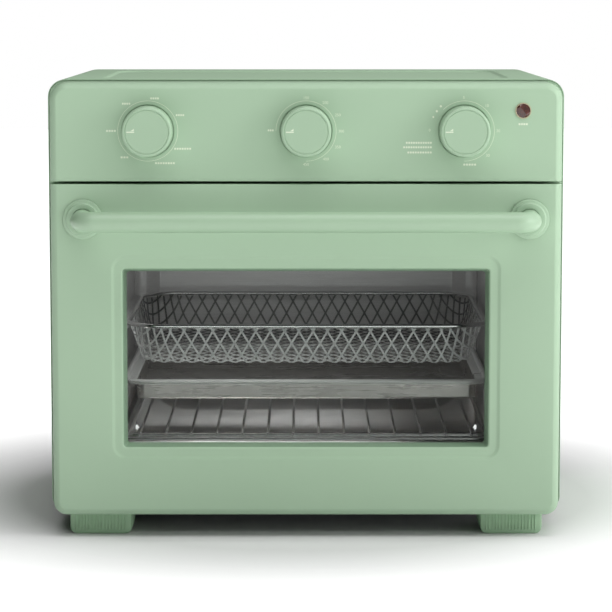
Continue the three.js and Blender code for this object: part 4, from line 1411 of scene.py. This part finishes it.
traySizes = {
    "sheet": 0.6, "lipTop": 41.3, "floor": 39.5, "panel": 39.0, "back": 286, "gripHalf": 60, "gripCorner": 5,
    "gripFront": 292.3, "tongueLow": 38.9, "tongueHigh": 40.1,
}


def makeTray():
    size = traySizes
    low, high = boxOf("crumb_tray")
    halfX = high.x
    front = low.y - frontY
    gripFront = size["gripFront"]
    gripBack = high.y - frontY
    floor = size["floor"]
    panel = size["panel"]
    section = [(0, size["lipTop"]), (0.7, floor), (12, floor), (14, panel), (20, panel)]
    profile = filletPath(section, [0, 0.8, 0.8, 0.8, 0], 4)
    rings = [planRing(halfX, front, size["back"], 4, inset, z) for inset, z in profile]
    points, faces = loft(rings, caps=False)
    faces.append(tuple(range((len(rings) - 1) * len(rings[0]), len(points))))
    piece = addPiece("crumb_catcher", points, faces, trayFinish, turnOut=False)
    thicken(piece, size["sheet"])
    half = size["gripHalf"]
    rings = []
    for inset, depth in ((1.2, gripFront), (0.3, gripFront + 0.4), (0, gripFront + 1.2), (0, gripBack - 1.2),
                         (0.3, gripBack - 0.4), (1.2, gripBack)):
        x = half - inset
        ring = roundedRectangle(-x, x, low.z + inset, high.z - inset, size["gripCorner"], 6)
        rings.append(atDepth(ring, depth))
    flat = roundedRectangle(-half + 2, half - 2, size["tongueLow"], size["tongueHigh"], 0.4, 2)
    tongue = loft([atDepth(flat, depth) for depth in (size["back"] - 2, gripFront + 0.7)])
    grip = addPiece("crumb_catcher_grip", *joined(loft(rings), tongue), sheetFinish)
    carry(piece, "tray", "liner_metal", "crumb_tray")
    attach(grip, "tray")


makeTray()
print("crumb tray made")


# ---- wire rack ----

rackSizes = {
    "wire": 1.25, "bar": 2.0, "wires": 14, "pitch": 20.35, "wireZ": 77.5, "front": 41, "back": 268,
    "corner": 7, "barDrop": 2.2, "lowerBar": 37, "lowerZ": 72.8,
}


def makeRack():
    size = rackSizes
    half = boxOf("wire_rack")[1].x - size["bar"]
    wireZ = size["wireZ"]
    barZ = wireZ - size["barDrop"]
    back = size["back"]
    first = -(size["wires"] - 1) / 2 * size["pitch"]
    y0 = frontY + size["front"]
    y1 = frontY + back
    bend = y0 - 2.9
    bent = [(first, bend, barZ - 1.4), (first, bend, wireZ), (first, y1 + 1.2, wireZ)]
    wire = filletPath(bent, [0, 2.2, 0], 4)
    step = (size["pitch"], 0, 0)
    wires = addBars("rack_wires", [wire], size["wire"], 12, wireFinish, size["wires"], step)
    corners = [(-half, y0, barZ), (half, y0, barZ), (half, y1, barZ), (-half, y1, barZ)]
    loop = filletPath(corners, size["corner"], 6, True)
    frameBar = addBars("rack_frame", [loop], size["bar"], 16, wireFinish, closed=True)
    yLow = frontY + size["lowerBar"]
    lowZ = size["lowerZ"]
    ends = [(-half, y0 + 16, barZ), (-half, yLow, lowZ), (half, yLow, lowZ), (half, y0 + 16, barZ)]
    lowBar = filletPath(ends, [0, 2.4, 2.4, 0], 6)
    stop = addBars("rack_front_bar", [lowBar], size["bar"], 16, wireFinish)
    for piece in (wires, frameBar, stop):
        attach(piece, "rack")
    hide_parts("wire_rack")


makeRack()
print("rack made")


# ---- baking pan ----

panSizes = {
    "sheet": 0.8, "wallHalf": 136.5, "corner": 16.5, "draft": 0.9, "floorBend": 1.6, "bead": 1.6,
    "groove": 22, "grooveDrop": 0.8,
}


def makePan():
    size = panSizes
    low, high = boxOf("baking_pan")
    front = low.y - frontY
    back = high.y - frontY
    rim = high.x
    flange = rim - size["wallHalf"]
    floor = low.z + size["sheet"]
    top = high.z - size["bead"]
    bead = size["bead"]
    groove = flange + size["groove"]
    raised = floor + size["grooveDrop"]
    walls = [(groove + 14, floor), (groove, floor), (groove - 1.5, raised), (flange + size["draft"], raised),
             (flange, top), (2 * bead, top)]
    profile = filletPath(walls, [0, 0.8, 0.8, size["floorBend"], 1.4, 0], 6)
    for k in range(1, 11):
        angle = math.radians(180 - 30 * k)
        profile.append((bead + bead * math.cos(angle), top + bead * math.sin(angle)))
    rings = [planRing(rim, front, back, size["corner"], inset, z, 8) for inset, z in profile]
    points, faces = loft(rings, caps=False)
    faces.append(tuple(range(len(rings[0])))[::-1])
    piece = addPiece("roasting_pan", points, faces, panFinish, smooth=40, turnOut=False)
    thicken(piece, -size["sheet"] * 0.6, 40)
    # Faces of the rolled rim take the near-white finish: a painted highlight along the bead.
    piece.data.materials.append(beadHighlightFinish)
    for face in piece.data.polygons:
        if face.center.z / mm > high.z - 2 * bead - 0.2:
            face.material_index = 1
    return carry(piece, "pan", "pan_metal", "baking_pan")


makePan()
print("pan made")


# ---- air-fry basket ----

basketSizes = {
    "rimWire": 1.85, "rimCorner": 31, "floorHalf": 128, "floorCorner": 21, "bend": 3.5,
    "strandWidth": 1.5, "strand": 0.55, "diamondWidth": 11.4, "diamondLength": 21, "sample": 2.4,
}


# A flat sheet's point folded up into the basket: flat inside the floor, and up the wall outside it.
def foldedPoint(x, y, floor, profile):
    halfX, halfY, corner, z = floor
    coreX = max(min(x, halfX - corner), corner - halfX)
    coreY = max(min(y, halfY - corner), corner - halfY)
    away = Vector((x - coreX, y - coreY))
    over = away.length - corner
    if over <= 0:
        return Vector((x, y, z)), Vector((0, 0, 1))
    along, rise, turn = profile(over)
    ahead = away.normalized()
    reach = corner + along
    place = Vector((coreX + ahead.x * reach, coreY + ahead.y * reach, z + rise))
    return place, Vector((-ahead.x * math.sin(turn), -ahead.y * math.sin(turn), math.cos(turn)))


# Flat strips along every edge line of a piece, each lying square to the outward attribute.
def makeStripNodes():
    tree, inputs = newNodes("stripLines", {"Width": "Float", "Thickness": "Float", "Material": "Material"})
    line = put(tree, "GeometryNodeMeshToCurve", {0: inputs["Geometry"]})
    outward = put(tree, "GeometryNodeInputNamedAttribute", {"Name": "outward"}, data_type="FLOAT_VECTOR")
    laid = put(tree, "GeometryNodeSetCurveNormal",
               {"Curve": line.outputs[0], "Normal": outward.outputs[0]}, mode="FREE")
    section = put(tree, "GeometryNodeCurvePrimitiveQuadrilateral",
                  {"Width": inputs["Thickness"], "Height": inputs["Width"]}, mode="RECTANGLE")
    strip = put(tree, "GeometryNodeCurveToMesh",
                {"Curve": laid.outputs[0], "Profile Curve": section.outputs[0], "Fill Caps": True})
    endNodes(tree, strip.outputs[0], inputs)
    return tree


stripNodes = makeStripNodes()


# A piece of flat strips that follow these lines of (point, outward) pairs.
def addStrips(name, lines, width, thickness, material):
    points = []
    outward = []
    edges = []
    for line in lines:
        start = len(points)
        points.extend(place * mm for place, up in line)
        outward.extend(value for place, up in line for value in up)
        edges.extend((start + k, start + k + 1) for k in range(len(line) - 1))
    mesh = bpy.data.meshes.new(name)
    mesh.from_pydata(points, edges, [])
    mesh.attributes.new("outward", "FLOAT_VECTOR", "POINT").data.foreach_set("vector", outward)
    piece = bpy.data.objects.new(name, mesh)
    bpy.context.scene.collection.objects.link(piece)
    values = {"Width": width * mm, "Thickness": thickness * mm, "Material": material}
    return settle(piece, stripNodes, values, 60)


def makeBasket():
    size = basketSizes
    low, high = boxOf("air_fry_basket")
    wire = size["rimWire"]
    rimZ = high.z - wire
    rimHalf = high.x - wire
    rimFront = low.y + wire
    rimBack = high.y - wire
    middle = (rimFront + rimBack) / 2
    halfY = (rimBack - rimFront) / 2
    loop = filletPath([(-rimHalf, rimFront, rimZ), (rimHalf, rimFront, rimZ), (rimHalf, rimBack, rimZ),
                       (-rimHalf, rimBack, rimZ)], size["rimCorner"], 14, True)
    rim = addBars("basket_rim", [loop], wire, 16, wireFinish, closed=True)
    floorZ = low.z + size["strand"] / 2
    lean = rimHalf - size["floorHalf"]
    floor = (size["floorHalf"], halfY - lean, size["floorCorner"], floorZ)
    bendPath = filletPath([(0, 0), (size["bend"], 0), (lean, rimZ - floorZ)], [0, size["bend"], 0], 6)
    stops = [0.0]
    for a, b in zip(bendPath, bendPath[1:]):
        stops.append(stops[-1] + math.dist(a, b))

    def profile(over):
        for k in range(1, len(stops)):
            if over <= stops[k] or k == len(stops) - 1:
                share = (over - stops[k - 1]) / (stops[k] - stops[k - 1])
                a, b = bendPath[k - 1], bendPath[k]
                turn = math.atan2(b[1] - a[1], b[0] - a[0])
                return a[0] + (b[0] - a[0]) * share, a[1] + (b[1] - a[1]) * share, turn

    wallLength = stops[-1]
    width = size["diamondWidth"]
    length = size["diamondLength"]
    reachY = floor[1] + wallLength
    phase = floor[1] + wallLength - 4.5 - length / 2
    lines = []
    for lean_ in (-1, 1):
        for k in range(-60, 61):
            line = []
            steps = int(2 * reachY / size["sample"])
            for i in range(steps + 1):
                y = -reachY + 2 * reachY * i / steps
                x = k * width + lean_ * (y + phase) * width / length
                coreX = max(min(x, floor[0] - floor[2]), floor[2] - floor[0])
                coreY = max(min(y, floor[1] - floor[2]), floor[2] - floor[1])
                over = math.hypot(x - coreX, y - coreY) - floor[2]
                if over <= wallLength:
                    place, up = foldedPoint(x, y, floor, profile)
                    line.append((place + Vector((0, middle, 0)), up))
                elif len(line) > 1:
                    lines.append(line)
                    line = []
                else:
                    line = []
            if len(line) > 1:
                lines.append(line)
    mesh = addStrips("basket_mesh", lines, size["strandWidth"], size["strand"], meshLightShadeFinish)
    for piece in (rim, mesh):
        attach(piece, "basket")
    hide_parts("air_fry_basket")
    print("basket strands", len(lines), "faces", len(mesh.data.polygons))


makeBasket()
print("basket made")


# ---- finishes of the carried-over pieces ----

carried = {
    sheetFinish: ["base_pan", "control_bracket", "hinge_bracket_left", "hinge_bracket_right", "fan_blade"],
    linerFinish: ["liner_top", "liner_floor", "fan_guard"],
    wireFinish: ["thermostat_probe"],
    pinFinish: ["hinge_pin_left", "hinge_pin_right", "hinge_spring_left", "hinge_spring_right",
                "selector_shaft", "thermostat_shaft", "timer_shaft", "fan_shaft", "handle_screw_left",
                "handle_screw_right"],
    elementFinish: ["upper_element_front", "upper_element_rear", "lower_element_front",
                    "lower_element_rear"],
    ceramicFinish: ["upper_element_holder_left", "upper_element_holder_right", "lower_element_holder_left",
                    "lower_element_holder_right", "terminal_block"],
    blackFinish: ["selector_switch", "thermostat", "timer", "indicator_lamp", "fan_motor"],
    rubberFinish: ["window_seal"],
}
for finish, names in carried.items():
    for name in names:
        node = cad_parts[name]
        node.data.materials.clear()
        node.data.materials.append(finish)


# ---- surroundings ----

studio = {
    "surround": 0.18, "sideways": 0.62, "upward": 0.3, "floorTone": 0.72,
    "glowNear": 0, "glowFar": 1.0, "glowStart": 0.24, "glowEnd": 0.5, "glowShift": (0, -0.06, 0),
    "key": (4.9, (0.6, 0.6), (1.1, -0.5, 0.6), (0, -0.1, 0.2)),
    "front": (0.5, (0.9, 0.7), (0.9, -2.4, 0.5), (0, 0, 0.17)),
    "above": (9.2, (1.4, 0.7), (0.1, -0.5, 1.4), (0, -0.1, 0.3)),
    "cavity": (0.27, (0.2, 0.02), (-0.06, -0.094, 0.236), (-0.05, 0.12, 0.12)),
    "lower": (1.1, (0.2, 0.012), (-0.02, -0.096, 0.068), (-0.03, -0.03, 0.030)),
}


def areaLamp(name, energy, size, place, aim):
    lamp = bpy.data.lights.new(name, "AREA")
    lamp.energy = energy
    lamp.shape = "RECTANGLE"
    lamp.size, lamp.size_y = size
    item = bpy.data.objects.new(name, lamp)
    item.location = place
    item.rotation_euler = (Vector(aim) - Vector(place)).to_track_quat("-Z", "Y").to_euler()
    bpy.context.scene.collection.objects.link(item)
    return item


def makeStudio():
    world = bpy.data.worlds.new("surround")
    bpy.context.scene.world = world
    world.use_nodes = True
    tree = world.node_tree
    tree.nodes.clear()
    ray = put(tree, "ShaderNodeLightPath").outputs["Is Camera Ray"]
    way = put(tree, "ShaderNodeSeparateXYZ", {0: put(tree, "ShaderNodeTexCoord").outputs["Generated"]})
    across = calc(tree, "MULTIPLY_ADD", way.outputs["X"], studio["sideways"], studio["surround"])
    level = calc(tree, "MULTIPLY_ADD", way.outputs["Z"], studio["upward"], across)
    soft = put(tree, "ShaderNodeBackground", {"Color": (1, 1, 1, 1), "Strength": level})
    plain = put(tree, "ShaderNodeBackground", {"Color": (1, 1, 1, 1), "Strength": 1.0})
    both = put(tree, "ShaderNodeMixShader", {0: ray, 1: soft.outputs[0], 2: plain.outputs[0]})
    put(tree, "ShaderNodeOutputWorld", {"Surface": both.outputs[0]})
    for name in ("key", "front", "above"):
        areaLamp(name, *studio[name])
    for name in ("cavity", "lower"):
        lamp = areaLamp(name, *studio[name])
        lamp.visible_glossy = False
        lamp.visible_camera = False
        if name == "lower":
            lamp.data.spread = math.radians(58)
    floorMaterial, floorTree, floorShader, where = newFinish("studio_floor")
    speck = noise(floorTree, where, 40)
    pale = (studio["floorTone"],) * 3 + (1,)
    paler = (studio["floorTone"] + 0.01,) * 3 + (1,)
    floorTree.links.new(mixed(floorTree, speck, pale, paler), floorShader.inputs["Base Color"])
    floorShader.inputs["Roughness"].default_value = 0.9
    floorShader.inputs["Emission Color"].default_value = (1, 1, 1, 1)
    flat = put(floorTree, "ShaderNodeVectorMath", {0: where, 1: (1, 1, 0), 2: studio["glowShift"]},
               operation="MULTIPLY_ADD").outputs[0]
    away = put(floorTree, "ShaderNodeVectorMath", {0: flat}, operation="LENGTH").outputs["Value"]
    floorTree.links.new(spread(floorTree, away, studio["glowNear"], studio["glowFar"], studio["glowStart"],
                               studio["glowEnd"]), floorShader.inputs["Emission Strength"])
    half = 6000
    corners = [(-half, -half, 0), (half, -half, 0), (half, half, 0), (-half, half, 0)]
    floor = addPiece("studio_floor", corners, [(0, 1, 2, 3)], floorMaterial, turnOut=False)


makeStudio()
bpy.context.scene.view_settings.view_transform = "Standard"
